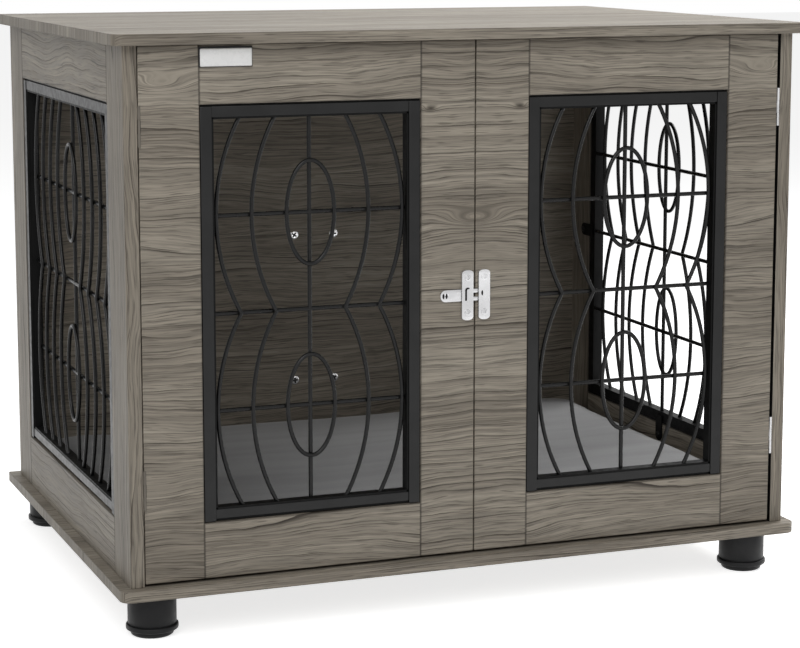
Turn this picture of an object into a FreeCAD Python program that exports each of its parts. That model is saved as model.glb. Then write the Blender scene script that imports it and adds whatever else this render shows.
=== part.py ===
import FreeCAD, Part
import math
import os
import re

import Sketcher

# Pet crate built as a low side cabinet. Millimetres, +Z up, front toward -Y.
# Origin: centre of the bounding box on the floor.

Vector = FreeCAD.Vector
Rotation = FreeCAD.Rotation

SIZES = {
    # Top and base boards
    "top_width": 800.0,
    "top_depth": 578.0,
    "top_thickness": 12.0,
    "base_thickness": 12.0,
    "board_corner": 12.0,
    "side_overhang": 12.5,
    "front_overhang": 12.5,
    "rear_overhang": 12.5,
    # Side panels
    "panel_thickness": 15.0,
    "panel_height": 565.0,
    "side_stile": 67.0,
    "side_top_rail": 62.0,
    "side_bottom_rail": 61.0,
    # Doors
    "door_thickness": 15.0,
    "door_stile": 62.0,
    "door_rail": 59.5,
    "hinge_gap": 3.4,
    "meeting_gap": 1.6,
    "door_top_gap": 2.5,
    "door_bottom_gap": 3.2,
    # Back
    "back_thickness": 15.0,
    "batten_width": 80.0,
    "batten_thickness": 12.0,
    # Grilles
    "grille_clearance": 0.9,
    "bar_width": 12.4,
    "bar_recess": 0.8,
    "rail_bar_setback": 0.7,
    "wire_radius": 2.4,
    "bow_layer_depth": 8.0,
    "rod_layer_depth": 12.0,
    "wire_bite": 3.0,
    "bow_rise": 26.5,
    "door_bow_margin": 5.3,
    "side_bow_margin": 15.7,
    "oval_half_width": 26.5,
    "oval_half_height": 55.0,
    "tab_width": 16.0,
    "tab_reach": 22.0,
    "tab_lap": 10.0,
    "tab_thickness": 2.0,
    # Hinges
    "hinge_length": 42.5,
    "hinge_from_top": 80.3,
    "hinge_from_bottom": 100.1,
    "leaf_thickness": 0.8,
    "leaf_width": 13.0,
    "knuckle_radius": 1.4,
    "knuckle_clearance": 0.3,
    "pin_radius": 0.6,
    "pin_clearance": 0.05,
    # Latch
    "latch_height": 289.0,
    "latch_plate_width": 13.6,
    "latch_plate_length": 55.0,
    "latch_plate_thickness": 1.2,
    "latch_plate_corner": 5.5,
    "latch_plate_inset": 3.0,
    "latch_lean": 1.8,
    "latch_wall_shift": 0.7,
    "bolt_length": 53.0,
    "bolt_height": 13.0,
    "bolt_thickness": 2.0,
    "bolt_clearance": 0.3,
    "bolt_side_clearance": 0.5,
    "bolt_engagement": 12.0,
    "bolt_end_radius": 6.0,
    "bolt_nose_radius": 1.5,
    "bolt_travel": 17.0,
    "slot_height": 4.2,
    "slot_corner": 1.9,
    "stop_radius": 1.5,
    "grip_ridge": 1.3,
    "grip_length": 7.0,
    "grip_pitch": 3.2,
    "grip_inset": 4.0,
    # Feet
    "foot_inset_side": 44.0,
    "foot_inset_front": 48.0,
    "foot_inset_rear": 40.0,
    "leg_radius": 26.1,
    "leg_height": 42.5,
    "leg_ring_radius": 28.1,
    "leg_ring_height": 5.7,
    "leg_bore_depth": 36.0,
    "glide_radius": 23.2,
    "glide_height": 6.2,
    "glide_ease": 2.2,
    "glide_gap": 0.3,
    "stem_radius": 5.0,
    "stem_clearance": 0.08,
    "stem_length": 32.0,
    # Cushion
    "cushion_thickness": 48.0,
    "cushion_lift": 0.3,
    "cushion_clearance": 1.5,
    "cushion_round": 18.0,
    "cushion_corner": 70.0,
    "cushion_draw_in": 5.0,
    # Shared overrun of cutting tools
    "tool_overrun": 5.0,
}

# Sizes that follow from the sheet, in the same names.
RULES = {
    "foot_height": "glide_height + glide_gap + leg_height",
    "floor_level": "foot_height + base_thickness",
    "roof_level": "floor_level + panel_height",
    "body_half": "top_width / 2 - side_overhang",
    "inner_half": "body_half - panel_thickness",
    "front_face": "front_overhang - top_depth / 2",
    "rear_face": "top_depth / 2 - rear_overhang",
    "body_middle": "(front_face + rear_face) / 2",
    "side_window_width": "rear_face - front_face - 2 * side_stile",
    "side_window_height": "panel_height - side_top_rail - side_bottom_rail",
    "door_outer": "inner_half - hinge_gap",
    "door_inner": "meeting_gap / 2",
    "door_width": "door_outer - door_inner",
    "door_low": "floor_level + door_bottom_gap",
    "door_high": "roof_level - door_top_gap",
    "door_height": "door_high - door_low",
    "door_window_width": "door_width - 2 * door_stile",
    "door_window_height": "door_height - 2 * door_rail",
    "door_middle": "(door_outer + door_inner) / 2",
    "hinge_axis": "inner_half - hinge_gap / 2",
    "latch_level": "floor_level + latch_height",
    "tunnel_height": "bolt_height + 2 * bolt_side_clearance",
    "tunnel_depth": "bolt_thickness + 2 * bolt_clearance",
    "guide_middle": "latch_plate_inset + latch_plate_width / 2",
    "slot_length": "bolt_travel + 2 * stop_radius + 2 * bolt_clearance",
    "foot_side": "top_width / 2 - foot_inset_side",
    "foot_front": "top_depth / 2 - foot_inset_front",
    "foot_rear": "top_depth / 2 - foot_inset_rear",
}

# Rounds that repeat are cut to this many sides.
LEG_SIDE_COUNT = 32
STEM_SIDE_COUNT = 12
KNUCKLE_SIDE_COUNT = 16

# A bent wire runs in straight steps, counted per half of a bow and per oval.
WIRE_SIDE_COUNT = 6
BOW_STEPS = 7
OVAL_STEPS = 18
DOOR_BOW_COUNT = 2
SIDE_BOW_COUNT = 4

WORD = re.compile(r"[a-z]+(?:_[a-z]+)+")

DOC = FreeCAD.newDocument("PetCrate")
SHEET = DOC.addObject("Spreadsheet::Sheet", "Sizes")
NODES = []

for row, (alias, number) in enumerate(SIZES.items(), start=1):
    SHEET.set(f"A{row}", alias)
    SHEET.set(f"B{row}", str(number))
    SHEET.setAlias(f"B{row}", alias)
DOC.recompute()


def sized(rule):
    """Turn a rule in size names into an expression on the sheet."""

    def swap(match):
        word = match.group(0)
        if word in RULES:
            return "(" + sized(RULES[word]) + ")"
        return "Sizes." + word

    return WORD.sub(swap, rule)


def value(rule):
    """The number a rule comes to."""
    result = SHEET.evalExpression(sized(rule))
    return float(getattr(result, "Value", result))


def bind(piece, **rules):
    """Bind properties of a document object to rules."""
    for name, rule in rules.items():
        piece.setExpression(name, sized(rule))


def place(piece, x="0", y="0", z="0", turn=None):
    """Put a piece at a point given by rules, turned about an axis."""
    if turn is not None:
        piece.Placement = FreeCAD.Placement(Vector(), turn)
    for axis, rule in zip("xyz", (x, y, z)):
        piece.setExpression(f"Placement.Base.{axis}", sized(rule))
    return piece


def node(piece, label):
    """Name a finished sub-part and keep it for the export."""
    piece.Label = label
    NODES.append(piece)
    return piece


def box(name, x, y, z):
    """A square-edged board between pairs of rules along each axis."""
    piece = DOC.addObject("Part::Box", name)
    spans = zip(("Length", "Width", "Height"), (x, y, z))
    for prop, (low, high) in spans:
        piece.setExpression(prop, sized(f"({high}) - ({low})"))
    return place(piece, x[0], y[0], z[0])


def cylinder(name, radius, length, x="0", y="0", z="0", turn=None):
    """A round bar that starts at a point and runs along its turned axis."""
    piece = DOC.addObject("Part::Cylinder", name)
    bind(piece, Radius=radius, Height=length)
    return place(piece, x, y, z, turn)


def round_bar(name, sides, radius, length, z):
    """An upright bar of many sides that starts at a level."""
    piece = DOC.addObject("Part::Prism", name)
    piece.Polygon = sides
    bind(piece, Circumradius=radius, Height=length)
    return place(piece, "0", "0", z)


def fuse(name, shapes):
    """One solid from several shapes."""
    piece = DOC.addObject("Part::MultiFuse", name)
    piece.Shapes = shapes
    piece.Refine = True
    return piece


def group(name, shapes):
    """Several shapes handled as one."""
    piece = DOC.addObject("Part::Compound", name)
    piece.Links = shapes
    return piece


def cut(name, base, tool):
    """A shape with another one taken out of it."""
    piece = DOC.addObject("Part::Cut", name)
    piece.Base = base
    piece.Tool = tool
    return piece


def mirrored(name, source):
    """The counterpart of a left shape on the right."""
    piece = DOC.addObject("Part::Mirroring", name)
    piece.Source = source
    piece.Normal = Vector(1, 0, 0)
    piece.Base = Vector()
    return piece


def on_both_sides(piece, name):
    """Keep a left piece as a node and make its right counterpart."""
    node(piece, "left_" + name)
    node(mirrored("right_" + name, piece), "right_" + name)


def outline(body, name, plane, points):
    """A closed sketch through points whose coordinates are bound to rules."""
    sketch = body.newObject("Sketcher::SketchObject", name)
    support = [part for part in body.Origin.OriginFeatures if part.Role == plane]
    sketch.AttachmentSupport = [(support[0], "")]
    sketch.MapMode = "FlatFace"
    corners = [Vector(value(x), value(y), 0) for x, y in points]
    count = len(corners)
    for index in range(count):
        following = corners[(index + 1) % count]
        sketch.addGeometry(Part.LineSegment(corners[index], following), False)
    for index in range(count):
        joint = Sketcher.Constraint("Coincident", index, 2, (index + 1) % count, 1)
        sketch.addConstraint(joint)
    for index, rules in enumerate(points):
        for kind, axis, rule in zip(("DistanceX", "DistanceY"), (-2, -1), rules):
            if rule == "0":
                sketch.addConstraint(Sketcher.Constraint("PointOnObject", index, 1, axis))
                continue
            span = Sketcher.Constraint(kind, -1, 1, index, 1, value(rule))
            number = sketch.addConstraint(span)
            sketch.setExpression(f"Constraints[{number}]", sized(rule))
    return sketch


def rectangle(x, y):
    """Corner rules of a rectangle from the sketch origin."""
    return [("0", "0"), (x, "0"), (x, y), ("0", y)]


def pad(body, sketch, length):
    """A pad of a sketch."""
    piece = body.newObject("PartDesign::Pad", "Pad")
    piece.Profile = sketch
    piece.setExpression("Length", sized(length))
    sketch.Visibility = False
    DOC.recompute()
    return piece


def rounded(body, base, radius, wanted):
    """A fillet on the straight edges of a feature that a test picks."""
    names = []
    for number, edge in enumerate(base.Shape.Edges, start=1):
        if edge.Curve.TypeId == "Part::GeomLine" and wanted(edge):
            names.append(f"Edge{number}")
    piece = body.newObject("PartDesign::Fillet", "Fillet")
    piece.Base = (base, names)
    piece.setExpression("Radius", sized(radius))
    DOC.recompute()
    return piece


def runs_along(edge, axis):
    """Whether a straight edge lies along an axis."""
    return abs(edge.tangentAt(edge.FirstParameter).dot(axis)) > math.cos(math.radians(1))


def overhanging_board(label, thickness, level):
    """The top or the base: one board with its two front corners rounded."""
    body = DOC.addObject("PartDesign::Body", label)
    sketch = outline(body, label + "_plan", "XY_Plane", rectangle("top_width", "top_depth"))
    plank = pad(body, sketch, thickness)
    middle = value("top_depth / 2")
    rounded(
        body,
        plank,
        "board_corner",
        lambda edge: runs_along(edge, Vector(0, 0, 1)) and edge.CenterOfMass.y < middle,
    )
    place(body, "-top_width / 2", "-top_depth / 2", level)
    node(body, label)


def side_panels():
    """Framed sides: stiles of full height with the rails between them."""
    across = ("-body_half", "-inner_half")
    full = ("floor_level", "roof_level")
    front = ("front_face", "front_face + side_stile")
    rear = ("rear_face - side_stile", "rear_face")
    between = (front[1], rear[0])
    on_both_sides(box("side_front_stile", across, front, full), "side_front_stile")
    on_both_sides(box("side_rear_stile", across, rear, full), "side_rear_stile")
    top = ("roof_level - side_top_rail", "roof_level")
    bottom = ("floor_level", "floor_level + side_bottom_rail")
    on_both_sides(box("side_top_rail", across, between, top), "side_top_rail")
    on_both_sides(box("side_bottom_rail", across, between, bottom), "side_bottom_rail")


def door_frames():
    """Framed doors: stiles of full height with the rails between them."""
    deep = ("front_face", "front_face + door_thickness")
    full = ("door_low", "door_high")
    hinge = ("-door_outer", "-door_outer + door_stile")
    meeting = ("-door_inner - door_stile", "-door_inner")
    between = (hinge[1], meeting[0])
    on_both_sides(box("door_hinge_stile", hinge, deep, full), "door_hinge_stile")
    on_both_sides(box("door_meeting_stile", meeting, deep, full), "door_meeting_stile")
    top = ("door_high - door_rail", "door_high")
    bottom = ("door_low", "door_low + door_rail")
    on_both_sides(box("door_top_rail", between, deep, top), "door_top_rail")
    on_both_sides(box("door_bottom_rail", between, deep, bottom), "door_bottom_rail")


def back():
    """Closed back in two halves, with a batten over the join."""
    full = ("floor_level", "roof_level")
    deep = ("rear_face - back_thickness", "rear_face")
    half = node(box("back_panel_left", ("-inner_half", "0"), deep, full), "back_panel_left")
    node(mirrored("back_panel_right", half), "back_panel_right")
    wide = ("-batten_width / 2", "batten_width / 2")
    outside = ("rear_face", "rear_face + batten_thickness")
    node(box("back_batten", wide, outside, full), "back_batten")


def bent_wire(name, points, closed):
    """A six-sided wire swept along straight steps, mitred at each bend."""
    path = DOC.addObject("Part::Feature", name + "_path")
    path.Shape = Part.makePolygon(points + points[:1] if closed else points)
    section = DOC.addObject("Part::RegularPolygon", name + "_section")
    section.Polygon = WIRE_SIDE_COUNT
    section.setExpression("Circumradius", sized("wire_radius"))
    along = points[1] - points[0]
    section.Placement = FreeCAD.Placement(points[0], Rotation(Vector(0, 1, 0), Vector(), along, "ZXY"))
    piece = DOC.addObject("Part::Sweep", name)
    piece.Sections = [section]
    piece.Spine = (path, [f"Edge{number}" for number in range(1, len(path.Shape.Edges) + 1)])
    piece.Transition = "Right corner"
    piece.Solid = True
    return piece


def oval(name, level):
    """A wire ring, taller than wide, round a level."""
    wide = value("oval_half_width")
    tall = value("oval_half_height")
    ring = []
    for step in range(OVAL_STEPS):
        angle = 2 * math.pi * step / OVAL_STEPS
        ring.append(Vector(wide * math.cos(angle), 0, tall * math.sin(angle)))
    start = (ring[-1] + ring[0]) / 2
    return place(bent_wire(name, [start] + ring, True), "0", "bow_layer_depth", level)


def bowed_wire(name, foot, inside, middle):
    """A wire left of the centre that bows outward twice and kinks at the middle rod."""
    half_chord = value(f"({inside}) / 4")
    rise = value("bow_rise")
    radius = (half_chord ** 2 + rise ** 2) / (2 * rise)
    reach = math.asin(half_chord / radius)
    upper = []
    for step in range(BOW_STEPS + 1):
        angle = reach * (2 * step / BOW_STEPS - 1)
        outward = radius * math.cos(angle) - radius + rise
        upper.append(Vector(-outward, 0, half_chord + radius * math.sin(angle)))
    tail = (upper[-1] - upper[-2]).normalize() * value("wire_bite")
    upper.append(upper[-1] + tail)
    lower = [Vector(point.x, 0, -point.z) for point in reversed(upper[1:])]
    wire = bent_wire(name, lower + upper, False)
    return place(wire, f"-({foot})", "bow_layer_depth", middle)


def tab(name, x, z, turn, thickness):
    """A flat screw tab on the inner face, with a round end."""
    shank = box(name + "_shank", ("-tab_lap", "tab_reach - tab_width / 2"),
                (thickness, f"({thickness}) + tab_thickness"), ("-tab_width / 2", "tab_width / 2"))
    end = cylinder(name + "_end", "tab_width / 2", "tab_thickness",
                   "tab_reach - tab_width / 2", thickness, "0", Rotation(Vector(1, 0, 0), -90))
    plate = fuse(name, [shank, end])
    return place(plate, x, "0", z, Rotation(Vector(0, 1, 0), turn))


def rod(name, length, x, z, turn):
    """A straight wire of the rear layer."""
    piece = DOC.addObject("Part::Prism", name)
    piece.Polygon = WIRE_SIDE_COUNT
    bind(piece, Circumradius="wire_radius", Height=length)
    return place(piece, x, "rod_layer_depth", z, turn)


def grille(name, width, height, thickness, bows, margin):
    """A welded grille. Local frame: window bottom centre on the outer face."""
    half = f"({width}) / 2 - grille_clearance"
    low = "grille_clearance"
    high = f"({height}) - grille_clearance"
    deep = ("bar_recess", thickness)
    set_back = ("bar_recess + rail_bar_setback", thickness)
    inside = f"({height}) - 2 * grille_clearance - 2 * bar_width"
    middle = f"({height}) / 2"
    inner = f"({half}) - bar_width"
    upright = (low, high)
    bars = [
        box(name + "_bar", (f"-({half})", f"-({inner})"), deep, upright),
        box(name + "_bar", (inner, half), deep, upright),
        box(name + "_bar", (f"-({inner})", inner), set_back, (low, f"{low} + bar_width")),
        box(name + "_bar", (f"-({inner})", inner), set_back, (f"({high}) - bar_width", high)),
    ]
    upward = Rotation(Vector(0, 0, 1), 90)
    sideways = Rotation(Vector(0, 1, 0), Vector(), Vector(1, 0, 0), "ZXY")
    rods = [rod(name + "_rod", f"({inside}) + 2 * wire_bite", "0",
                "grille_clearance + bar_width - wire_bite", upward)]
    rings = []
    for quarter in (-1, 0, 1):
        level = f"({middle}) + {quarter} * ({inside}) / 4"
        rods.append(rod(name + "_rod", f"2 * ({inner}) + 2 * wire_bite",
                        f"-({inner}) - wire_bite", level, sideways))
        if quarter:
            rings.append(oval(name + "_oval", level))
    feet_apart = f"(({inner}) - bow_rise - {margin}) / {bows}"
    left = group(name + "_bows", [bowed_wire(name + "_bow", f"{number} * {feet_apart}", inside, middle)
                                  for number in range(1, bows + 1)])
    right = mirrored(name + "_bows_right", left)
    tabs = [
        tab(name + "_tab", f"({width}) / 2", middle, 0, thickness),
        tab(name + "_tab", f"-({width}) / 2", middle, 180, thickness),
        tab(name + "_tab", "0", height, -90, thickness),
        tab(name + "_tab", "0", "0", 90, thickness),
    ]
    return fuse(name, bars + rods + rings + [left, right] + tabs)


def grilles():
    """Door grilles face the front, side grilles face outward."""
    door = grille("door_grille", "door_window_width", "door_window_height", "door_thickness",
                  DOOR_BOW_COUNT, "door_bow_margin")
    place(door, "-door_middle", "front_face", "door_low + door_rail")
    on_both_sides(door, "door_grille")
    side = grille("side_grille", "side_window_width", "side_window_height", "panel_thickness",
                  SIDE_BOW_COUNT, "side_bow_margin")
    place(side, "-body_half", "body_middle", "floor_level + side_bottom_rail",
          Rotation(Vector(0, 0, 1), -90))
    on_both_sides(side, "side_grille")


def hinge_leaf(name, sign, knuckles, level):
    """A leaf with its knuckles; sign -1 is the panel side, +1 the door side."""
    near = "hinge_gap / 2 - leaf_thickness"
    far = "hinge_gap / 2"
    edges = (near, far) if sign > 0 else (f"-({far})", f"-({near})")
    across = tuple(f"-hinge_axis + ({edge})" for edge in edges)
    low = f"({level}) - hinge_length / 2"
    set_back = "front_face + knuckle_radius + knuckle_clearance"
    shapes = [box(name + "_plate", across, (set_back, "front_face + leaf_width"),
                  (low, f"{low} + hinge_length"))]
    for start, stop in knuckles:
        span = (f"{low} + ({start})", f"{low} + ({stop})")
        shapes.append(box(name + "_web", across, ("front_face", set_back), span))
        knuckle = round_bar(name + "_knuckle", KNUCKLE_SIDE_COUNT, "knuckle_radius", f"({stop}) - ({start})", "0")
        shapes.append(place(knuckle, "-hinge_axis", "front_face", span[0]))
    bore = cylinder(name + "_bore", "pin_radius + pin_clearance", "hinge_length + 2 * tool_overrun",
                    "-hinge_axis", "front_face", f"{low} - tool_overrun")
    return cut(name, fuse(name + "_blank", shapes), bore)


def hinges():
    """Butt hinges of three knuckles in the gap beside each door."""
    third = "hinge_length / 3"
    outer = [("0", third), (f"2 * {third}", "hinge_length")]
    inner = [(f"{third} + knuckle_clearance", f"2 * {third} - knuckle_clearance")]
    levels = {"upper": "door_high - hinge_from_top", "lower": "door_low + hinge_from_bottom"}
    for height, level in levels.items():
        stem = height + "_hinge"
        on_both_sides(hinge_leaf(stem + "_frame_leaf", -1, outer, level), stem + "_frame_leaf")
        on_both_sides(hinge_leaf(stem + "_door_leaf", 1, inner, level), stem + "_door_leaf")
        pin = cylinder(stem + "_pin", "pin_radius", "hinge_length", "-hinge_axis", "front_face",
                       f"({level}) - hinge_length / 2")
        on_both_sides(pin, stem + "_pin")


def latch_plate(name, middle):
    """A stamped plate with a raised bridge for the bolt, standing on a door."""
    body = DOC.addObject("PartDesign::Body", name)
    centre = "latch_plate_length / 2"
    inner = "tunnel_height / 2"
    foot = f"{inner} + latch_lean"
    shifted = "latch_wall_shift"
    outer = "tunnel_depth + latch_plate_thickness"
    thick = "latch_plate_thickness"
    points = [
        ("0", "0"),
        (thick, "0"),
        (thick, f"{centre} - ({foot}) - {shifted}"),
        (outer, f"{centre} - {inner} - {shifted}"),
        (outer, f"{centre} + {inner} + {shifted}"),
        (thick, f"{centre} + ({foot}) + {shifted}"),
        (thick, "latch_plate_length"),
        ("0", "latch_plate_length"),
        ("0", f"{centre} + ({foot})"),
        ("tunnel_depth", f"{centre} + {inner}"),
        ("tunnel_depth", f"{centre} - {inner}"),
        ("0", f"{centre} - ({foot})"),
    ]
    sketch = outline(body, name + "_profile", "YZ_Plane", points)
    strip = pad(body, sketch, "latch_plate_width")
    ends = (0, value("latch_plate_length"))
    slack = value("latch_plate_thickness")
    rounded(
        body,
        strip,
        "latch_plate_corner",
        lambda edge: runs_along(edge, Vector(0, 1, 0))
        and min(abs(edge.CenterOfMass.z - end) for end in ends) < slack,
    )
    place(body, f"({middle}) + latch_plate_width / 2", "front_face",
          "latch_level - latch_plate_length / 2", Rotation(Vector(0, 0, 1), 180))
    return body


def latch_bolt():
    """A flat bolt with a round end, a stop slot and two grip ridges."""
    body = DOC.addObject("PartDesign::Body", "bolt_bar")
    sketch = outline(body, "bolt_outline", "XZ_Plane", rectangle("bolt_length", "bolt_height"))
    bar = pad(body, sketch, "bolt_thickness")
    across = Vector(0, 1, 0)
    half = value("bolt_length / 2")
    tail = rounded(body, bar, "bolt_end_radius",
                   lambda edge: runs_along(edge, across) and edge.CenterOfMass.x < half)
    far = value("bolt_length - bolt_nose_radius")
    rounded(body, tail, "bolt_nose_radius",
            lambda edge: runs_along(edge, across) and edge.CenterOfMass.x > far)
    forward = "front_face - bolt_clearance"
    place(body, "bolt_engagement - bolt_length", forward, "latch_level - bolt_height / 2")
    slot_end = "-guide_middle - stop_radius - bolt_clearance"
    deep = (f"{forward} - bolt_thickness - tool_overrun", f"{forward} + tool_overrun")
    high = ("latch_level - slot_height / 2", "latch_level + slot_height / 2")
    slot = DOC.addObject("Part::Fillet", "bolt_slot")
    slot.Base = box("slot_block", (slot_end, f"{slot_end} + slot_length"), deep, high)
    DOC.recompute()
    picked = [number for number, edge in enumerate(slot.Base.Shape.Edges, start=1)
              if runs_along(edge, across)]
    radius = value("slot_corner")
    slot.Edges = [(number, radius, radius) for number in picked]
    ridges = []
    for number in range(2):
        ridge = DOC.addObject("Part::Box", "grip_ridge")
        bind(ridge, Length="grip_ridge", Width="grip_ridge", Height="grip_length")
        start = f"bolt_engagement - bolt_length + grip_inset + {number} * grip_pitch"
        place(ridge, start, f"{forward} - bolt_thickness", "latch_level - grip_length / 2",
              Rotation(Vector(0, 0, 1), -45))
        ridges.append(ridge)
    blank = fuse("bolt_blank", [body] + ridges)
    node(cut("latch_bolt", blank, slot), "latch_bolt")


def latch():
    """Guide with its stop on the left door, keeper on the right, bolt between."""
    plate = latch_plate("guide_plate", "-guide_middle")
    backward = Rotation(Vector(1, 0, 0), -90)
    stop = cylinder("guide_stop", "stop_radius", "bolt_thickness + 2 * bolt_clearance", "-guide_middle",
                    "front_face - tunnel_depth - bolt_clearance", "latch_level", backward)
    node(fuse("latch_guide", [plate, stop]), "latch_guide")
    node(latch_plate("latch_keeper", "guide_middle"), "latch_keeper")
    latch_bolt()


def leg():
    """A leg with a ring round its lower end and a bore for the glide stem."""
    shaft = round_bar("leg_shaft", LEG_SIDE_COUNT, "leg_radius", "leg_height", "0")
    ring = round_bar("leg_ring", LEG_SIDE_COUNT, "leg_ring_radius", "leg_ring_height", "0")
    bore = round_bar("leg_bore", STEM_SIDE_COUNT, "stem_radius + stem_clearance",
                     "leg_bore_depth + tool_overrun", "-tool_overrun")
    return cut("leg", fuse("leg_blank", [shaft, ring]), bore)


def glide():
    """A levelling glide: a disc with an eased sole on a stem."""
    disc = round_bar("glide_disc", LEG_SIDE_COUNT, "glide_radius", "glide_height", "0")
    DOC.recompute()
    eased = DOC.addObject("Part::Chamfer", "glide_eased")
    eased.Base = disc
    ease = value("glide_ease")
    eased.Edges = [(number, ease, ease) for number, edge in enumerate(disc.Shape.Edges, start=1)
                   if edge.BoundBox.ZMax < ease]
    stem = round_bar("glide_stem", STEM_SIDE_COUNT, "stem_radius", "stem_length", "glide_height")
    return fuse("glide", [eased, stem])


def feet():
    """A leg at each corner of the base, with the glide that screws into it."""
    for row, y in (("front", "-foot_front"), ("rear", "foot_rear")):
        post = place(leg(), "-foot_side", y, "glide_height + glide_gap")
        lower = place(glide(), "-foot_side", y, "0")
        for piece, kind in ((post, "leg"), (lower, "glide")):
            node(piece, f"{row}_left_{kind}")
            node(mirrored(f"{row}_right_{kind}", piece), f"{row}_right_{kind}")


# Height share of the thickness, and inset as a share of the edge rounding.
CUSHION_LEVEL_SHARES = (
    (0.0, 0.6),
    (0.3, 0.0),
    (0.62, 0.1),
    (0.88, 0.9),
    (1.0, 4.5),
)


def cushion_ring(half_x, half_y, corner, draw_in, level):
    """A plan outline with round corners and sides that draw in to their middles."""
    straight_x = half_x - corner
    straight_y = half_y - corner
    bulge = corner * math.sin(math.radians(45))
    edges = []
    for sx, sy in ((1, -1), (1, 1), (-1, 1), (-1, -1)):
        on_x = Vector(sx * half_x, sy * straight_y, level)
        on_y = Vector(sx * straight_x, sy * half_y, level)
        crest = Vector(sx * (straight_x + bulge), sy * (straight_y + bulge), level)
        forward = sx * sy < 0
        first, last = (on_y, on_x) if forward else (on_x, on_y)
        if forward:
            waist = Vector(sx * (half_x - draw_in), 0, level)
            following = Vector(last.x, -last.y, level)
        else:
            waist = Vector(0, sy * (half_y - draw_in), level)
            following = Vector(-last.x, last.y, level)
        edges.append(Part.Arc(first, crest, last).toShape())
        edges.append(Part.makeLine(last, waist))
        edges.append(Part.makeLine(waist, following))
    return Part.Wire(edges)


def cushion():
    """Floor cushion: crowned, with rounded sides that draw in between the corners."""
    half_x = value("inner_half - cushion_clearance")
    front = "front_face + door_thickness + cushion_clearance"
    rear = "rear_face - back_thickness - cushion_clearance"
    half_y = value(f"(({rear}) - ({front})) / 2")
    corner = value("cushion_corner")
    rings = []
    for height_share, inset_share in CUSHION_LEVEL_SHARES:
        inset = inset_share * value("cushion_round")
        ring = DOC.addObject("Part::Feature", "cushion_ring")
        level = height_share * value("cushion_thickness")
        tight = max(corner - inset, corner / 3)
        ring.Shape = cushion_ring(half_x - inset, half_y - inset, tight, value("cushion_draw_in"), level)
        rings.append(ring)
    piece = DOC.addObject("Part::Loft", "cushion")
    piece.Sections = rings
    piece.Solid = True
    piece.Ruled = True
    place(piece, "0", f"(({rear}) + ({front})) / 2", "floor_level + cushion_lift")
    node(piece, "cushion")


def export():
    """Check every piece and write one file for each."""
    DOC.recompute()
    os.makedirs("parts", exist_ok=True)
    for piece in DOC.Objects:
        if "Invalid" in piece.State or "Error" in piece.State:
            raise RuntimeError(f"{piece.Name} failed: {piece.State}")
    for piece in NODES:
        shape = piece.Shape
        if shape.isNull() or not shape.isValid() or not shape.Solids:
            raise RuntimeError(f"{piece.Label} has no valid solid")
        shape.exportStep(f"parts/{piece.Label}.step")


overhanging_board("top_board", "top_thickness", "roof_level")
overhanging_board("base_board", "base_thickness", "foot_height")
side_panels()
back()
door_frames()
grilles()
hinges()
latch()
feet()
cushion()
export()
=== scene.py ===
"""Looks of a pet crate built like a low cabinet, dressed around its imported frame.

All sizes are in metres and every piece stands where the frame has it.
"""

import logging
import math
from dataclasses import dataclass, field, replace
from enum import Enum
from functools import cache
from typing import Any

import bmesh
import bpy
from mathutils import Matrix, Vector


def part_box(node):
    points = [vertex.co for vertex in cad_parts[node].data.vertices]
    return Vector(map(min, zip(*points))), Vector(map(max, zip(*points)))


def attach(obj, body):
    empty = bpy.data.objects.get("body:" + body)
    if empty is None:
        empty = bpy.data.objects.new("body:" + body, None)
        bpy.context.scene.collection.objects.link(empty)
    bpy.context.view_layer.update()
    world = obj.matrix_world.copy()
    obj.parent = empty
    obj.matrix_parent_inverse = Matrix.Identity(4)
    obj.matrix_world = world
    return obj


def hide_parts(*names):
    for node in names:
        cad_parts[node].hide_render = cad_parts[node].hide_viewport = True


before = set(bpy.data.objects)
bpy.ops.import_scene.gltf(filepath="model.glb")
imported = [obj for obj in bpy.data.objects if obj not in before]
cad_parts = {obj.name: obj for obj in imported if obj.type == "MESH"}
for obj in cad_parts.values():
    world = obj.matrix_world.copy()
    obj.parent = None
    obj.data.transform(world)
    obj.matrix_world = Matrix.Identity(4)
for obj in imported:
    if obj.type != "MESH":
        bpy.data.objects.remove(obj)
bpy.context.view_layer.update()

LOG = logging.getLogger("pet_crate")
MM = 0.001
DOOR_FACE = -276.5 * MM
FORWARD = Vector((0, -1, 0))
CABINET = "cabinet"
SHARP_EDGE = math.radians(40)
RECESS_SMOOTH = math.radians(30)
FACING_SHARE = 0.5

Socket = bpy.types.NodeSocket
Node = bpy.types.Node
Tree = bpy.types.NodeTree
Material = bpy.types.Material
Mesh = bpy.types.Mesh
Piece = bpy.types.Object
Shape = bmesh.types.BMesh
Feed = float | tuple | Socket
Flat = tuple[float, float]
Point = tuple[float, float, float]
Colour = tuple[float, float, float, float]

VALUE, COLOUR, VECTOR = "NodeSocketFloat", "NodeSocketColor", "NodeSocketVector"
GEOMETRY, FINISH = "NodeSocketGeometry", "NodeSocketMaterial"


def tint(*levels: int) -> Colour:
    """Turn a screen colour into the linear colour that a shader takes.

    Args:
        *levels: Red, green and blue from 0 to 255, or one level for a grey.

    Returns:
        The linear colour with full alpha.
    """
    def linear(level: int) -> float:
        """One channel in linear light."""
        share = level / 255
        return share / 12.92 if share <= 0.04045 else ((share + 0.055) / 1.055) ** 2.4

    red, green, blue = levels if len(levels) == 3 else levels * 3
    return (linear(red), linear(green), linear(blue), 1.0)


class GrainRun(Enum):
    """The way a board's grain runs, as the turn that brings it to the X axis."""

    ACROSS = (0.0, 0.0, 0.0)
    DEEP = (0.0, 0.0, -math.pi / 2)
    UPRIGHT = (0.0, math.pi / 2, 0.0)


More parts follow.
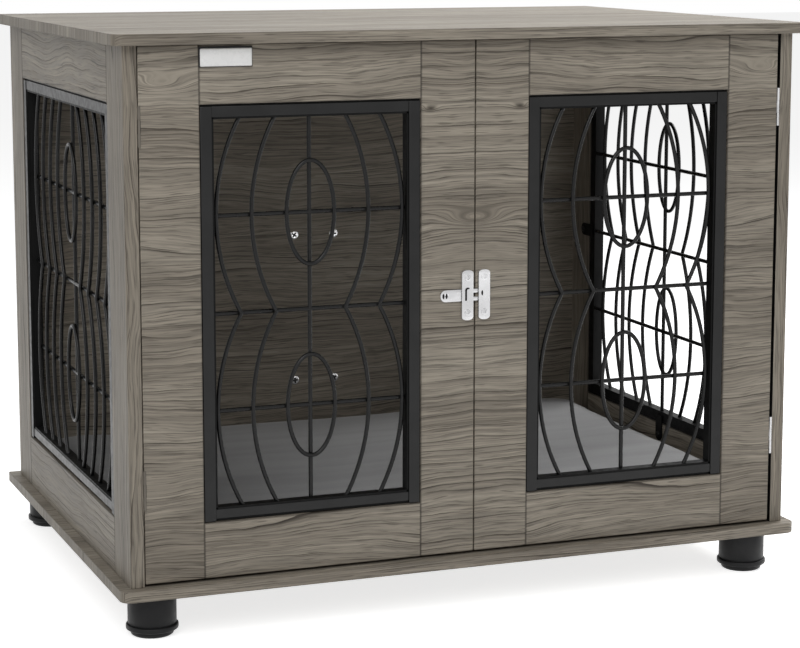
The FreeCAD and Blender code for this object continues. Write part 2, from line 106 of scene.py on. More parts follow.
class EdgeLook(Enum):
    """What a board's edges look like: how dark the line along them is."""

    # The seam line is painted shade in the joints where boards meet; the worn line is a fainter
    # dark line along the edges.
    SEAM = 0.62
    WORN = 0.18
    CLOSED = 0.0


class Facing(Enum):
    """Which wall of the cabinet a grille stands in."""

    FRONT = "front"
    LEFT = "left"
    RIGHT = "right"


@dataclass
class Net:
    """A node tree with short ways to place and join nodes."""

    tree: Tree

    def add(self, kind: str, feeds: dict[str | int, Feed] | None = None,
            **settings: Any) -> Node:
        """Place a node.

        Args:
            kind: The node's type name.
            feeds: Values or sockets for the inputs, by name or number.
            **settings: The node's own settings.

        Returns:
            The new node.
        """
        node = self.tree.nodes.new(kind)
        for key, value in settings.items():
            setattr(node, key, value)
        for key, value in (feeds or {}).items():
            self.feed(node.inputs[key], value)
        return node

    def feed(self, socket: Socket, value: Feed) -> None:
        """Give an input a value, or join it to an output.

        Args:
            socket: The input.
            value: The value, or the output.
        """
        if isinstance(value, Socket):
            self.tree.links.new(value, socket)
        else:
            socket.default_value = value

    def math(self, operation: str, first: Feed, second: Feed = 0.0) -> Socket:
        """The result of one sum on two values."""
        return self.add("ShaderNodeMath", {0: first, 1: second}, operation=operation).outputs[0]

    def plus(self, first: Feed, second: Feed) -> Socket:
        """Two values added."""
        return self.math("ADD", first, second)

    def minus(self, first: Feed, second: Feed) -> Socket:
        """The second value taken from the first."""
        return self.math("SUBTRACT", first, second)

    def times(self, first: Feed, second: Feed) -> Socket:
        """Two values multiplied."""
        return self.math("MULTIPLY", first, second)

    def vector(self, operation: str, first: Feed, second: Feed = (0.0, 0.0, 0.0)) -> Socket:
        """The result of one sum on two vectors."""
        feeds = {0: first, 1: second}
        return self.add("ShaderNodeVectorMath", feeds, operation=operation).outputs[0]

    def dot(self, first: Feed, second: Feed) -> Socket:
        """The dot product of two vectors."""
        return self.vector("DOT_PRODUCT", first, second).node.outputs["Value"]

    def blend(self, share: Feed, first: Feed, second: Feed) -> Socket:
        """Two colours mixed by a share."""
        feeds = {0: share, 6: first, 7: second}
        return self.add("ShaderNodeMix", feeds, data_type="RGBA").outputs[2]

    def span(self, value: Feed, low: float, high: float,
             start: float = 0.0, end: float = 1.0) -> Socket:
        """A value moved smoothly from one range to another."""
        feeds = {"Value": value, "From Min": low, "From Max": high, "To Min": start, "To Max": end}
        return self.add("ShaderNodeMapRange", feeds, interpolation_type="SMOOTHSTEP").outputs[0]

    def noise(self, place: Feed, stretch: Point, detail: float, bend: float = 0.0) -> Socket:
        """Make smooth noise on stretched coordinates.

        Args:
            place: The coordinates.
            stretch: How fast the noise changes along each axis.
            detail: How many finer layers it has.
            bend: How far it is bent by itself.

        Returns:
            The noise.
        """
        feeds = {"Vector": self.vector("MULTIPLY", place, stretch), "Scale": 1.0,
                 "Detail": detail, "Distortion": bend}
        return self.add("ShaderNodeTexNoise", feeds).outputs[0]


def open_tree(name: str, kind: str, inputs: dict[str, str], outputs: dict[str, str]) -> Net:
    """Start a node group with named sockets.

    Args:
        name: The group's name.
        kind: Its kind of tree.
        inputs: The kinds of its inputs, by name.
        outputs: The kinds of its outputs, by name.

    Returns:
        The group's net.
    """
    tree = bpy.data.node_groups.new(name, kind)
    for way, sockets in (("INPUT", inputs), ("OUTPUT", outputs)):
        for label, socket in sockets.items():
            tree.interface.new_socket(label, in_out=way, socket_type=socket)
    return Net(tree)


class Effect:
    """A shader effect that several finishes share, kept as one node group."""

    name: str
    inputs: dict[str, str]
    outputs: dict[str, str] = {"Colour": COLOUR, "Roughness": VALUE, "Height": VALUE}

    def build(self, net: Net, given: bpy.types.NodeOutputs) -> dict[str, Feed]:
        """Work out the group's outputs; each effect does it in its own way."""
        raise NotImplementedError

    @cache
    def tree(self) -> Tree:
        """The group, built the first time that it is asked for.

        Returns:
            The group's tree.
        """
        net = open_tree(self.name, "ShaderNodeTree", self.inputs, self.outputs)
        results = self.build(net, net.add("NodeGroupInput").outputs)
        net.add("NodeGroupOutput", results)
        return net.tree

    def place(self, net: Net, feeds: dict[str, Feed]) -> bpy.types.NodeOutputs:
        """Put the effect into a material."""
        return net.add("ShaderNodeGroup", feeds, node_tree=self.tree()).outputs


class OakGrain(Effect):
    """Flowing grain lines, knots, fibres and pores of a grey oak face, with the grain along X.

    A noise is given by how fast it changes along the grain, across it and into the board, and by
    its detail. A span is the range of a noise that counts, and where it has four numbers, what it
    becomes.
    """

    name = "oak_grain"
    inputs = {"Place": VECTOR, "Lie": VECTOR, "Bend": VALUE, "Knot": VECTOR, "Eye": VECTOR,
              "Swirl": VALUE, "Dark": COLOUR, "Middle": COLOUR, "Pale": COLOUR}
    WAVES = ((((4.0, 9.0, 9.0), 2.0), 0.040), (((12.0, 26.0, 26.0), 2.0), 0.0085),
             (((75.0, 150.0, 150.0), 2.0), 0.0008))
    KNOT_NARROW, KNOT_BEND, KNOT_CORE, KNOT_DARK = (85.0, 0.0, 230.0), 0.005, 3.0, 0.9
    EYE_NARROW = (34.0, 0.0, 120.0)
    FIBRE = ((15.0, 520.0, 0.0), 3.0)
    FIBRE_TONE, FIBRE_ROUGH = (0.28, 0.72, 0.76, 1.22), (0.3, 0.7, 0.44, 0.54)
    STREAK, STREAK_TONE = ((4.0, 190.0, 0.0), 3.0), (0.28, 0.72, 0.86, 1.15)
    PATCH, PATCH_SPAN = ((1.5, 18.0, 0.0), 3.0), (0.36, 0.66)
    PORES, PORE_SPAN, PORE_DARK = ((34.0, 640.0, 0.0), 1.0), (0.57, 0.70), 0.5
    RINGS, DRIFT, DRIFT_REACH = 104.0, ((2.0, 34.0, 0.0), 1.0), 3.2
    SLOW_LINES = (1.0, 2.4, 0.20)
    PATCHY_LINES = (((1.0, 13.0, 1.15), ((5.0, 64.0, 0.0), 2.0)),
                    ((2.7, 6.5, 0.85), ((10.0, 105.0, 0.0), 2.0)))
    LINE_SPAN, LINE_ROUGH = (0.44, 0.60), 0.12
    FIBRE_RISE, LINE_SINK, PORE_SINK = 0.4, 0.5, 0.4

    def build(self, net: Net, given: bpy.types.NodeOutputs) -> dict[str, Feed]:
        """Bend the board's cross direction into a flow, and lay lines, fibres and pores along it.

        Args:
            net: The group's net.
            given: The group's inputs.

        Returns:
            The group's outputs, by name.
        """
        place = given["Place"]
        knots = self.bump(net, place, given["Knot"], self.KNOT_NARROW)
        eyes = self.bump(net, place, given["Eye"], self.EYE_NARROW)
        bends = net.plus(net.times(knots, self.KNOT_BEND), net.times(eyes, given["Swirl"]))
        for wave, reach in self.WAVES:
            bends = net.plus(bends, net.times(net.noise(place, *wave), reach))
        flow = net.plus(net.dot(place, given["Lie"]), net.times(bends, given["Bend"]))
        along = net.add("ShaderNodeSeparateXYZ", {0: place}).outputs[0]
        grain = net.add("ShaderNodeCombineXYZ", {0: along, 1: flow}).outputs[0]
        fibre = net.noise(grain, *self.FIBRE)
        streak = net.noise(grain, *self.STREAK)
        patch = net.span(net.noise(grain, *self.PATCH), *self.PATCH_SPAN)
        pores = net.span(net.noise(grain, *self.PORES), *self.PORE_SPAN)
        drift = net.times(net.noise(grain, *self.DRIFT), self.DRIFT_REACH)
        rings = net.plus(net.times(flow, self.RINGS), drift)
        lines = self.ring(net, rings, *self.SLOW_LINES)
        for line, patches in self.PATCHY_LINES:
            weight = net.span(net.noise(grain, *patches), *self.LINE_SPAN)
            lines = net.plus(lines, net.times(self.ring(net, rings, *line), weight))
        lines = net.plus(lines, net.times(net.math("POWER", knots, self.KNOT_CORE), self.KNOT_DARK))
        lines = net.math("MINIMUM", lines, 1.0)
        colour = net.blend(patch, given["Middle"], given["Pale"])
        colour = net.vector("SCALE", net.blend(lines, colour, given["Dark"]))
        strand = net.times(net.span(fibre, *self.FIBRE_TONE), net.span(streak, *self.STREAK_TONE))
        net.feed(colour.node.inputs["Scale"], strand)
        colour = net.blend(net.times(pores, self.PORE_DARK), colour, given["Dark"])
        rough = net.plus(net.span(fibre, *self.FIBRE_ROUGH), net.times(lines, self.LINE_ROUGH))
        height = net.minus(net.times(fibre, self.FIBRE_RISE), net.times(lines, self.LINE_SINK))
        height = net.minus(height, net.times(pores, self.PORE_SINK))
        return {"Colour": colour, "Roughness": rough, "Height": height}

    @staticmethod
    def ring(net: Net, rings: Feed, often: float, sharp: float, dark: float) -> Socket:
        """Growth lines, so many to a ring, that darken slowly and end at once."""
        rise = net.math("FRACT", net.times(rings, often))
        return net.times(net.math("POWER", rise, sharp), dark)

    @staticmethod
    def bump(net: Net, place: Feed, centre: Feed, narrow: Point) -> Socket:
        """A soft hump of 1 at a centre, which turns the growth lines round it."""
        away = net.vector("MULTIPLY", net.vector("SUBTRACT", place, centre), narrow)
        return net.math("POWER", math.e, net.times(net.dot(away, away), -1.0))


class BoardEdges(Effect):
    """How near a point of a board is to the edges of the board's box."""

    name = "board_edges"
    inputs = {"Place": VECTOR, "Middle": VECTOR, "Half": VECTOR}
    outputs = {"Edge": VALUE}
    LINE = (0.4 * MM, 1.7 * MM)

    def build(self, net: Net, given: bpy.types.NodeOutputs) -> dict[str, Feed]:
        """Take the middle one of the three depths below the box's faces.

        Args:
            net: The group's net.
            given: The group's inputs.

        Returns:
            The group's outputs, by name.
        """
        away = net.vector("SUBTRACT", given["Place"], given["Middle"])
        depth = net.vector("SUBTRACT", given["Half"], net.vector("ABSOLUTE", away))
        axes = net.add("ShaderNodeSeparateXYZ", {0: depth}).outputs
        lower = net.math("MINIMUM", axes[0], axes[1])
        upper = net.math("MAXIMUM", axes[0], axes[1])
        middle = net.math("MAXIMUM", lower, net.math("MINIMUM", upper, axes[2]))
        return {"Edge": net.span(middle, *self.LINE, 1.0, 0.0)}


class Mottle(Effect):
    """Fine orange peel and slow cloudiness of paint, plating and moulded plastic."""

    name = "mottle"
    inputs = {"Place": VECTOR, "Dark": COLOUR, "Pale": COLOUR, "Smooth": VALUE, "Matt": VALUE}
    CLOUD = ((28.0, 28.0, 28.0), 4.0, 0.3)
    PEEL = ((900.0, 900.0, 900.0), 1.0)
    SCUFF = ((160.0, 160.0, 160.0), 3.0)
    SPAN, SCUFF_RISE = (0.3, 0.7), 0.3

    def build(self, net: Net, given: bpy.types.NodeOutputs) -> dict[str, Feed]:
        """Mix two tones by a cloud and roughen by a finer one.

        Args:
            net: The group's net.
            given: The group's inputs.

        Returns:
            The group's outputs, by name.
        """
        place, smooth = given["Place"], given["Smooth"]
        noises = (self.CLOUD, self.PEEL, self.SCUFF)
        cloud, peel, scuff = (net.noise(place, *noise) for noise in noises)
        colour = net.blend(net.span(cloud, *self.SPAN), given["Dark"], given["Pale"])
        rough = net.times(net.minus(given["Matt"], smooth), net.span(scuff, *self.SPAN))
        height = net.plus(peel, net.times(scuff, self.SCUFF_RISE))
        return {"Colour": colour, "Roughness": net.plus(smooth, rough), "Height": height}


class ClothWeave(Effect):
    """Crossing threads and soft nap of a short-pile cloth, with painted sheen and shade in slow
    streaks and bands.
    """

    name = "cloth_weave"
    inputs = {"Place": VECTOR, "Dark": COLOUR, "Pale": COLOUR}
    THREADS, THREAD_RISE = 3600.0, 0.25
    NAP, NAP_SHARE, NAP_ROUGH = ((260.0, 340.0, 300.0), 3.0), 0.3, (0.3, 0.7, 0.78, 0.95)
    BRUSH, BRUSH_SPAN, BRUSH_SHARE = ((3.0, 30.0, 16.0), 3.0, 0.3), (0.32, 0.68), 0.28
    SLOW, SLOW_SPAN, SLOW_SHARE = ((1.8, 7.0, 6.0), 1.0), (0.34, 0.66), 0.42

    def build(self, net: Net, given: bpy.types.NodeOutputs) -> dict[str, Feed]:
        """Cross two sets of threads, lay a nap over them and paint sheen and shade over them in
        streaks and bands.

        Args:
            net: The group's net.
            given: The group's inputs.

        Returns:
            The group's outputs, by name.
        """
        place = given["Place"]
        axes = net.add("ShaderNodeSeparateXYZ", {0: place}).outputs
        warp, weft = (net.math("SINE", net.times(net.plus(axes[way], axes[2]), self.THREADS))
                      for way in (0, 1))
        threads = net.math("MAXIMUM", warp, weft)
        nap = net.noise(place, *self.NAP)
        # The streaks and the slow bands paint sheen and shade into the cloth's colour; the nap is
        # the cloth's own fine tone.
        sheen_shade_streaks = net.span(net.noise(place, *self.BRUSH), *self.BRUSH_SPAN)
        slow = net.span(net.noise(place, *self.SLOW), *self.SLOW_SPAN)
        share = net.plus(net.times(sheen_shade_streaks, self.BRUSH_SHARE), net.times(slow, self.SLOW_SHARE))
        share = net.plus(share, net.times(nap, self.NAP_SHARE))
        return {"Colour": net.blend(share, given["Dark"], given["Pale"]),
                "Roughness": net.span(nap, *self.NAP_ROUGH),
                "Height": net.plus(net.times(threads, self.THREAD_RISE), nap)}


OAK_GRAIN = OakGrain()
BOARD_EDGES = BoardEdges()
MOTTLE = Mottle()
CLOTH_WEAVE = ClothWeave()


@dataclass(frozen=True)
class Finish:
    """What every finish has: a name, and a material that is built once."""

    name: str

    def material(self) -> Material:
        """The finish's material, built the first time that it is asked for.

        Returns:
            The material.
        """
        material = bpy.data.materials.get(self.name)
        if not material:
            material = bpy.data.materials.new(self.name)
            material.use_nodes = True
            net = Net(material.node_tree)
            place = net.add("ShaderNodeTexCoord").outputs["Object"]
            self.build(net, material.node_tree.nodes["Principled BSDF"], place)
        return material

    def build(self, net: Net, shader: Node, place: Socket) -> None:
        """Fill the material; each finish does it in its own way."""
        raise NotImplementedError

    @staticmethod
    def join(net: Net, shader: Node, look: dict[str, Feed], strength: float, depth: float) -> None:
        """Join an effect to the shader.

        Args:
            net: The material's net.
            shader: Its shader.
            look: The effect's colour, roughness and height.
            strength: How strong the relief is.
            depth: How deep the relief is.
        """
        relief = {"Height": look["Height"], "Strength": strength, "Distance": depth}
        net.feed(shader.inputs["Base Color"], look["Colour"])
        net.feed(shader.inputs["Roughness"], look["Roughness"])
        net.feed(shader.inputs["Normal"], net.add("ShaderNodeBump", relief).outputs[0])


@dataclass(frozen=True)
class OakFinish(Finish):
    """Grey oak on one board."""

    run: GrainRun
    edges: EdgeLook
    middle: Point
    half: Point
    shift: Point
    mirrored: bool = False
    lie: Point = (0.0, 0.83, 1.0)
    bend: float = 1.0
    knot: Point = (9.0, 9.0, 9.0)
    eye: Point = (9.0, 9.0, 9.0)
    swirl: float = 0.017
    dark: Colour = tint(57, 50, 42)
    plain: Colour = tint(133, 125, 113)
    pale: Colour = tint(157, 149, 136)
    line: Colour = tint(40, 35, 30)
    gloss: float = 0.35
    relief: Flat = (0.35, 0.6 * MM)

    def build(self, net: Net, shader: Node, place: Socket) -> None:
        """Run the grain the board's way and draw its edges.

        Args:
            net: The material's net.
            shader: Its shader.
            place: The coordinates on the piece.
        """
        flip = (-1.0 if self.mirrored else 1.0, 1.0, 1.0)
        feeds = {"Vector": place, "Location": self.shift, "Rotation": self.run.value, "Scale": flip}
        turned = net.add("ShaderNodeMapping", feeds).outputs[0]
        grain = OAK_GRAIN.place(net, {
            "Place": turned, "Lie": self.lie, "Bend": self.bend, "Knot": self.knot, "Eye": self.eye,
            "Swirl": self.swirl, "Dark": self.dark, "Middle": self.plain, "Pale": self.pale})
        edge = BOARD_EDGES.place(net, {"Place": place, "Middle": self.middle, "Half": self.half})
        # Darken towards the line colour along the box's edges: painted shade in the joints where
        # the edges are seams.
        share = net.times(edge["Edge"], self.edges.value)
        look = {"Colour": net.blend(share, grain["Colour"], self.line),
                "Roughness": grain["Roughness"], "Height": grain["Height"]}
        shader.inputs["Specular IOR Level"].default_value = self.gloss
        self.join(net, shader, look, *self.relief)


@dataclass(frozen=True)
class HardFinish(Finish):
    """Paint, plating or moulded plastic with a fine mottle."""

    dark: Colour
    pale: Colour
    smooth: float
    matt: float
    metal: float = 0.0
    peel: float = 0.12
    gloss: float = 0.5
    peel_depth: float = 0.2 * MM

    def build(self, net: Net, shader: Node, place: Socket) -> None:
        """Mottle the colour and the gloss.

        Args:
            net: The material's net.
            shader: Its shader.
            place: The coordinates on the piece.
        """
        look = MOTTLE.place(net, {"Place": place, "Dark": self.dark, "Pale": self.pale,
                                  "Smooth": self.smooth, "Matt": self.matt})
        shader.inputs["Metallic"].default_value = self.metal
        shader.inputs["Specular IOR Level"].default_value = self.gloss
        self.join(net, shader, look, self.peel, self.peel_depth)


@dataclass(frozen=True)
class ClothFinish(Finish):
    """Short-pile grey cloth."""

    dark: Colour
    pale: Colour
    sheen: float = 0.35
    sheen_rough: float = 0.5
    relief: Flat = (0.35, 0.6 * MM)

    def build(self, net: Net, shader: Node, place: Socket) -> None:
        """Weave the cloth and give it a soft sheen.

        Args:
            net: The material's net.
            shader: Its shader.
            place: The coordinates on the piece.
        """
        look = CLOTH_WEAVE.place(net, {"Place": place, "Dark": self.dark, "Pale": self.pale})
        shader.inputs["Sheen Weight"].default_value = self.sheen
        shader.inputs["Sheen Roughness"].default_value = self.sheen_rough
        self.join(net, shader, look, *self.relief)


BLACK_STEEL = HardFinish("black_paint", tint(23), tint(31), 0.28, 0.40, gloss=0.26)
# Black painted shade: a darker, duller copy of the black paint, for faces that lie in shade.
BLACK_SHADE = HardFinish("black_painted_shade", tint(9), tint(14), 0.42, 0.56, gloss=0.12)
BLACK_WIRE = HardFinish("black_wire_paint", tint(9), tint(14), 0.24, 0.36, gloss=0.24)
BRIGHT_STEEL = HardFinish("bright_plating", tint(190, 190, 191), tint(214, 214, 215),
                          0.24, 0.36, 0.9, 0.05)
BLACK_PLASTIC = HardFinish("black_moulding", tint(30, 30, 31), tint(38, 38, 39),
                           0.36, 0.50, gloss=0.2)
NICKEL = HardFinish("nickel_plating", tint(246), tint(254), 0.10, 0.16, 1.0, 0.02)
GREY_PAINT = HardFinish("grey_paint", tint(106, 100, 92), tint(118, 112, 103),
                        0.42, 0.55, gloss=0.3)
WHITE_PLATE = HardFinish("white_enamel", tint(240, 240, 239), tint(247, 247, 246),
                         0.24, 0.32, 0.0, 0.03)
GREY_CLOTH = ClothFinish("grey_pile", tint(100, 100, 101), tint(148, 148, 149))


def corners(node: str) -> tuple[Vector, Vector]:
    """The lowest and the highest corner of a node of the frame."""
    low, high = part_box(node)
    return Vector(low), Vector(high)


def arc(centre: Flat, radius: float, start: float, end: float, steps: int) -> list[Flat]:
    """Points along an arc.

    Args:
        centre: The arc's centre.
        radius: Its radius.
        start: The angle that it starts at.
        end: The angle that it ends at.
        steps: How many runs it has.

    Returns:
        The points, both ends included.
    """
    turns = [start + (end - start) * step / steps for step in range(steps + 1)]
    return [(centre[0] + radius * math.cos(turn), centre[1] + radius * math.sin(turn))
            for turn in turns]


def circle(centre: Flat, radius: float, sides: int) -> list[Flat]:
    """The corners of a circle with a number of sides."""
    return arc(centre, radius, 0.0, math.tau, sides)[:-1]


def new_piece(name: str, mesh: Mesh, finish: Finish | None = None) -> Piece:
    """Put a mesh into the scene as a piece at the origin.

    Args:
        name: The piece's name.
        mesh: Its mesh, with its place in it.
        finish: Its finish, where the mesh has none yet.

    Returns:
        The piece.
    """
    mesh.name = name
    piece = bpy.data.objects.new(name, mesh)
    bpy.context.scene.collection.objects.link(piece)
    if finish:
        mesh.materials.clear()
        mesh.materials.append(finish.material())
    return piece


def mesh_of(shape: Shape, smooth_below: float = 0.0) -> Mesh:
    """Turn a worked shape into a mesh and let it go.

    Args:
        shape: The worked shape.
        smooth_below: The angle below which edges are shaded smooth; 0 leaves all faces flat.

    Returns:
        The mesh.
    """
    mesh = bpy.data.meshes.new("shape")
    bmesh.ops.recalc_face_normals(shape, faces=shape.faces[:])
    shape.to_mesh(mesh)
    shape.free()
    if smooth_below:
        mesh.shade_smooth()
        mesh.set_sharp_from_angle(angle=smooth_below)
    return mesh


def evaluated(piece: Piece) -> Mesh:
    """A plain mesh of a piece with its modifiers in it.

    Args:
        piece: The piece.

    Returns:
        The mesh.
    """
    bpy.context.view_layer.update()
    graph = bpy.context.evaluated_depsgraph_get()
    return bpy.data.meshes.new_from_object(piece.evaluated_get(graph))


def skin(shape: Shape, rings: list[list[bmesh.types.BMVert]]) -> None:
    """Join each ring of points to the next with faces.

    Args:
        shape: The shape to add to.
        rings: Rings with the same count of points; a ring may also be a single point.
    """
    count = max(len(ring) for ring in rings)
    for lower, upper in zip(rings, rings[1:]):
        for i in range(count):
            j = (i + 1) % count
            places = ((lower, i), (lower, j), (upper, j), (upper, i))
            face = [ring[place % len(ring)] for ring, place in places]
            shape.faces.new(list(dict.fromkeys(face)))


def add_prism(shape: Shape, outline: list[Vector], rise: Vector,
              ease: float, steps: int = 2) -> None:
    """Add an outline raised to a solid, with eased edges.

    Args:
        shape: The shape to add to.
        outline: The corners, in order.
        rise: How far and which way the outline is raised.
        ease: The width of the eased edges.
        steps: The faces across an eased edge.
    """
    low = [shape.verts.new(corner) for corner in outline]
    high = [shape.verts.new(corner + rise) for corner in outline]
    faces = [shape.faces.new(low), shape.faces.new(high[::-1])]
    count = len(outline)
    for i in range(count):
        j = (i + 1) % count
        faces.append(shape.faces.new((low[i], high[i], high[j], low[j])))
    bmesh.ops.recalc_face_normals(shape, faces=faces)
    rim = [edge for face in faces[:2] for edge in face.edges]
    sharp = [edge for face in faces[2:] for edge in face.edges
             if edge not in rim and edge.calc_face_angle(0.0) > SHARP_EDGE]
    if ease:
        eased = list(set(rim + sharp))
        bmesh.ops.bevel(shape, geom=eased, offset=ease, segments=steps, profile=0.5, affect="EDGES")


def prism(outline: list[Vector], rise: Vector, ease: float = 0.0, steps: int = 2,
          smooth_below: float = 0.0) -> Mesh:
    """The mesh of one raised outline.

    Args:
        outline: The corners, in order.
        rise: How far and which way the outline is raised.
        ease: The width of the eased edges.
        steps: The faces across an eased edge.
        smooth_below: The angle below which edges are shaded smooth.

    Returns:
        The mesh.
    """
    shape = bmesh.new()
    add_prism(shape, outline, rise, ease, steps)
    return mesh_of(shape, smooth_below)


def box_outline(low: Flat, high: Flat) -> list[Flat]:
    """The four corners between two opposite ones."""
    return [(low[0], low[1]), (high[0], low[1]), (high[0], high[1]), (low[0], high[1])]


def close_tree(net: Net, result: Socket, finish: Socket) -> Tree:
    """End a tree with its shapes made real and dressed.

    Args:
        net: The tree's net.
        result: The shapes.
        finish: Their finish.

    Returns:
        The tree.
    """
    real = net.add("GeometryNodeRealizeInstances", {"Geometry": result})
    dressed = net.add("GeometryNodeSetMaterial", {"Geometry": real.outputs[0], "Material": finish})
    net.add("NodeGroupOutput", {0: dressed.outputs[0]})
    return net.tree


@cache
def tube_tree() -> Tree:
    """A tree that gives every line of a mesh a round wire.

    Returns:
        The tree, with inputs for the wire's radius, its sides and its finish.
    """
    inputs = {"Lines": GEOMETRY, "Radius": VALUE, "Sides": "NodeSocketInt", "Finish": FINISH}
    net = open_tree("round_wires", "GeometryNodeTree", inputs, {"Wires": GEOMETRY})
    given = net.add("NodeGroupInput").outputs
    line = net.add("GeometryNodeMeshToCurve", {"Mesh": given["Lines"]})
    feeds = {"Resolution": given["Sides"], "Radius": given["Radius"]}
    ring = net.add("GeometryNodeCurvePrimitiveCircle", feeds)
    feeds = {"Curve": line.outputs[0], "Profile Curve": ring.outputs[0], "Fill Caps": True}
    wire = net.add("GeometryNodeCurveToMesh", feeds)
    soft = net.add("GeometryNodeSetShadeSmooth", {"Geometry": wire.outputs[0]})
    return close_tree(net, soft.outputs[0], given["Finish"])


@cache
def repeat_tree() -> Tree:
    """A tree that sets one shape on every point, turned to the point's own direction.

    Returns:
        The tree, with inputs for the shape and its finish.
    """
    inputs = {"Points": GEOMETRY, "Shape": "NodeSocketObject", "Finish": FINISH}
    net = open_tree("set_on_points", "GeometryNodeTree", inputs, {"Shapes": GEOMETRY})
    given = net.add("NodeGroupInput").outputs
    shape = net.add("GeometryNodeObjectInfo", {"Object": given["Shape"]})
    way = net.add("GeometryNodeInputNamedAttribute", {"Name": "way"}, data_type="FLOAT_VECTOR")
    twist = net.add("GeometryNodeInputNamedAttribute", {"Name": "twist"}, data_type="FLOAT")
    turn = net.add("FunctionNodeAlignRotationToVector", {"Vector": way.outputs[0]}, axis="Z")
    feeds = {"Axis": (0.0, 0.0, 1.0), "Angle": twist.outputs[0]}
    spin = net.add("FunctionNodeAxisAngleToRotation", feeds)
    feeds = {0: turn.outputs[0], 1: spin.outputs[0]}
    both = net.add("FunctionNodeRotateRotation", feeds, rotation_space="LOCAL")
    feeds = {"Points": given["Points"], "Instance": shape.outputs["Geometry"],
             "Rotation": both.outputs[0]}
    copies = net.add("GeometryNodeInstanceOnPoints", feeds)
    return close_tree(net, copies.outputs[0], given["Finish"])


def grown(name: str, seed: Mesh, tree: Tree, inputs: dict[str, object]) -> Piece:
    """Run a tree on a seed mesh and keep the result as a plain piece.

    Args:
        name: The piece's name.
        seed: The lines or points that the tree works on.
        tree: The tree.
        inputs: The tree's inputs, by name.

    Returns:
        The piece, with no modifier left.
    """
    carrier = new_piece(name + "_seed", seed)
    modifier = carrier.modifiers.new("grow", "NODES")
    modifier.node_group = tree
    for item in tree.interface.items_tree:
        if item.item_type == "SOCKET" and item.in_out == "INPUT" and item.name in inputs:
            modifier[item.identifier] = inputs[item.name]
    mesh = evaluated(carrier)
    carrier.modifiers.remove(modifier)
    bpy.data.objects.remove(carrier)
    return new_piece(name, mesh)


def sink_shaded_recesses(name: str, mesh: Mesh, finish: Finish, outlines: list[list[Flat]], front: float,
             depth: float) -> Piece:
    """Sink recesses into the front of a piece and paint their walls and floors black as shade.

    Args:
        name: The piece's name.
        mesh: The piece's mesh.
        finish: Its finish.
        outlines: The recesses' outlines, as sides and levels.
        front: Where the piece's front face is.
        depth: How deep the recesses are.

    Returns:
        The piece.
    """
    base = new_piece(name + "_blank", mesh, finish)
    shape = bmesh.new()
    for outline in outlines:
        ring = [Vector((x, front - depth, z)) for x, z in outline]
        add_prism(shape, ring, -2 * depth * FORWARD, 0.0)
    # The tool's black paint passes to the recesses' walls and floors: painted shade.
    tool = new_piece(name + "_tool", mesh_of(shape), BLACK_STEEL)
    cut = base.modifiers.new("sink", "BOOLEAN")
    cut.object, cut.operation = tool, "DIFFERENCE"
    cut.solver, cut.material_mode = "EXACT", "TRANSFER"
    result = evaluated(base)
    for helper in (base, tool):
        bpy.data.objects.remove(helper)
    result.shade_smooth()
    result.set_sharp_from_angle(angle=RECESS_SMOOTH)
    return new_piece(name, result)


def settle(piece: Piece, body: str, slot: str, *nodes: str) -> None:
    """Let a piece ride on its body and stand for its nodes.

    Args:
        piece: The piece.
        body: The body that carries it.
        slot: The material slot of the record that it would take its finish from; not used.
        *nodes: The nodes of the frame that it stands for.
    """
    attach(piece, body)
    if nodes:
        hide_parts(*nodes)
    LOG.info("%s rides on %s, %d faces", piece.name, body, len(piece.data.polygons))


@dataclass
class Wires:
    """Lines collected for one run of round wires."""

    points: list[Vector] = field(default_factory=list)
    edges: list[tuple[int, int]] = field(default_factory=list)

    def line(self, path: list[Vector], closed: bool = False) -> None:
        """Add one line.

        Args:
            path: The points that it goes through.
            closed: Whether it ends where it starts.
        """
        first = len(self.points)
        self.points += path
        self.edges += [(first + i, first + i + 1) for i in range(len(path) - 1)]
        if closed:
            self.edges.append((first + len(path) - 1, first))

    def grow(self, name: str, radius: float, sides: int, finish: Finish) -> Piece:
        """Make the wires.

        Args:
            name: The piece's name.
            radius: The wire's radius.
            sides: The faces round the wire.
            finish: The wire's finish.

        Returns:
            The piece.
        """
        mesh = bpy.data.meshes.new("lines")
        mesh.from_pydata(self.points, self.edges, [])
        inputs = {"Radius": radius, "Sides": sides, "Finish": finish.material()}
        return grown(name, mesh, tube_tree(), inputs)


@dataclass
class ScrewHead:
    """A pan-head screw with a cross recess, as seen when it is driven home.

    The shares are of the head's radius and rise.
    """

    radius: float
    rise: float
    sides: int = 24
    dome: tuple[Flat, ...] = ((1.0, 0.0), (1.0, 0.42), (0.96, 0.7), (0.87, 0.86), (0.68, 0.95))
    arm: float = 0.52
    half: float = 0.17
    sink: float = 0.8
    taper: float = 0.8
    smooth: float = math.radians(35)

    def cross(self) -> list[Flat]:
        """The outline of the cross recess.

        Returns:
            Its corners, in order.
        """
        arm, half = self.radius * self.arm, self.radius * self.half
        quarter = [(arm, -half), (arm, half), (half, half)]
        turns = ((1, 0), (0, 1), (-1, 0), (0, -1))
        return [(x * c - y * s, x * s + y * c) for c, s in turns for x, y in quarter]

    def shape(self) -> Piece:
        """Make the head on the XY plane, with its recess sunk into the dome.

        Returns:
            A helper object for the tree to copy.
        """
        shape = bmesh.new()
        rings = []
        for wide, high in self.dome:
            ring = circle((0.0, 0.0), self.radius * wide, self.sides)
            rings.append([shape.verts.new((x, y, self.rise * high)) for x, y in ring])
        skin(shape, rings)
        shape.faces.new(rings[0][::-1])
        top = self.rise * self.dome[-1][1]
        rim = [shape.verts.new((x, y, top)) for x, y in self.cross()]
        floor = top - self.rise * self.sink
        pit = [shape.verts.new((x * self.taper, y * self.taper, floor)) for x, y in self.cross()]
        skin(shape, [rim, pit])
        shape.faces.new(pit)
        edges = [edge for edge in shape.edges if edge.is_boundary]
        bmesh.ops.triangle_fill(shape, edges=edges, use_beauty=True)
        return new_piece("screw_head_shape", mesh_of(shape, self.smooth))


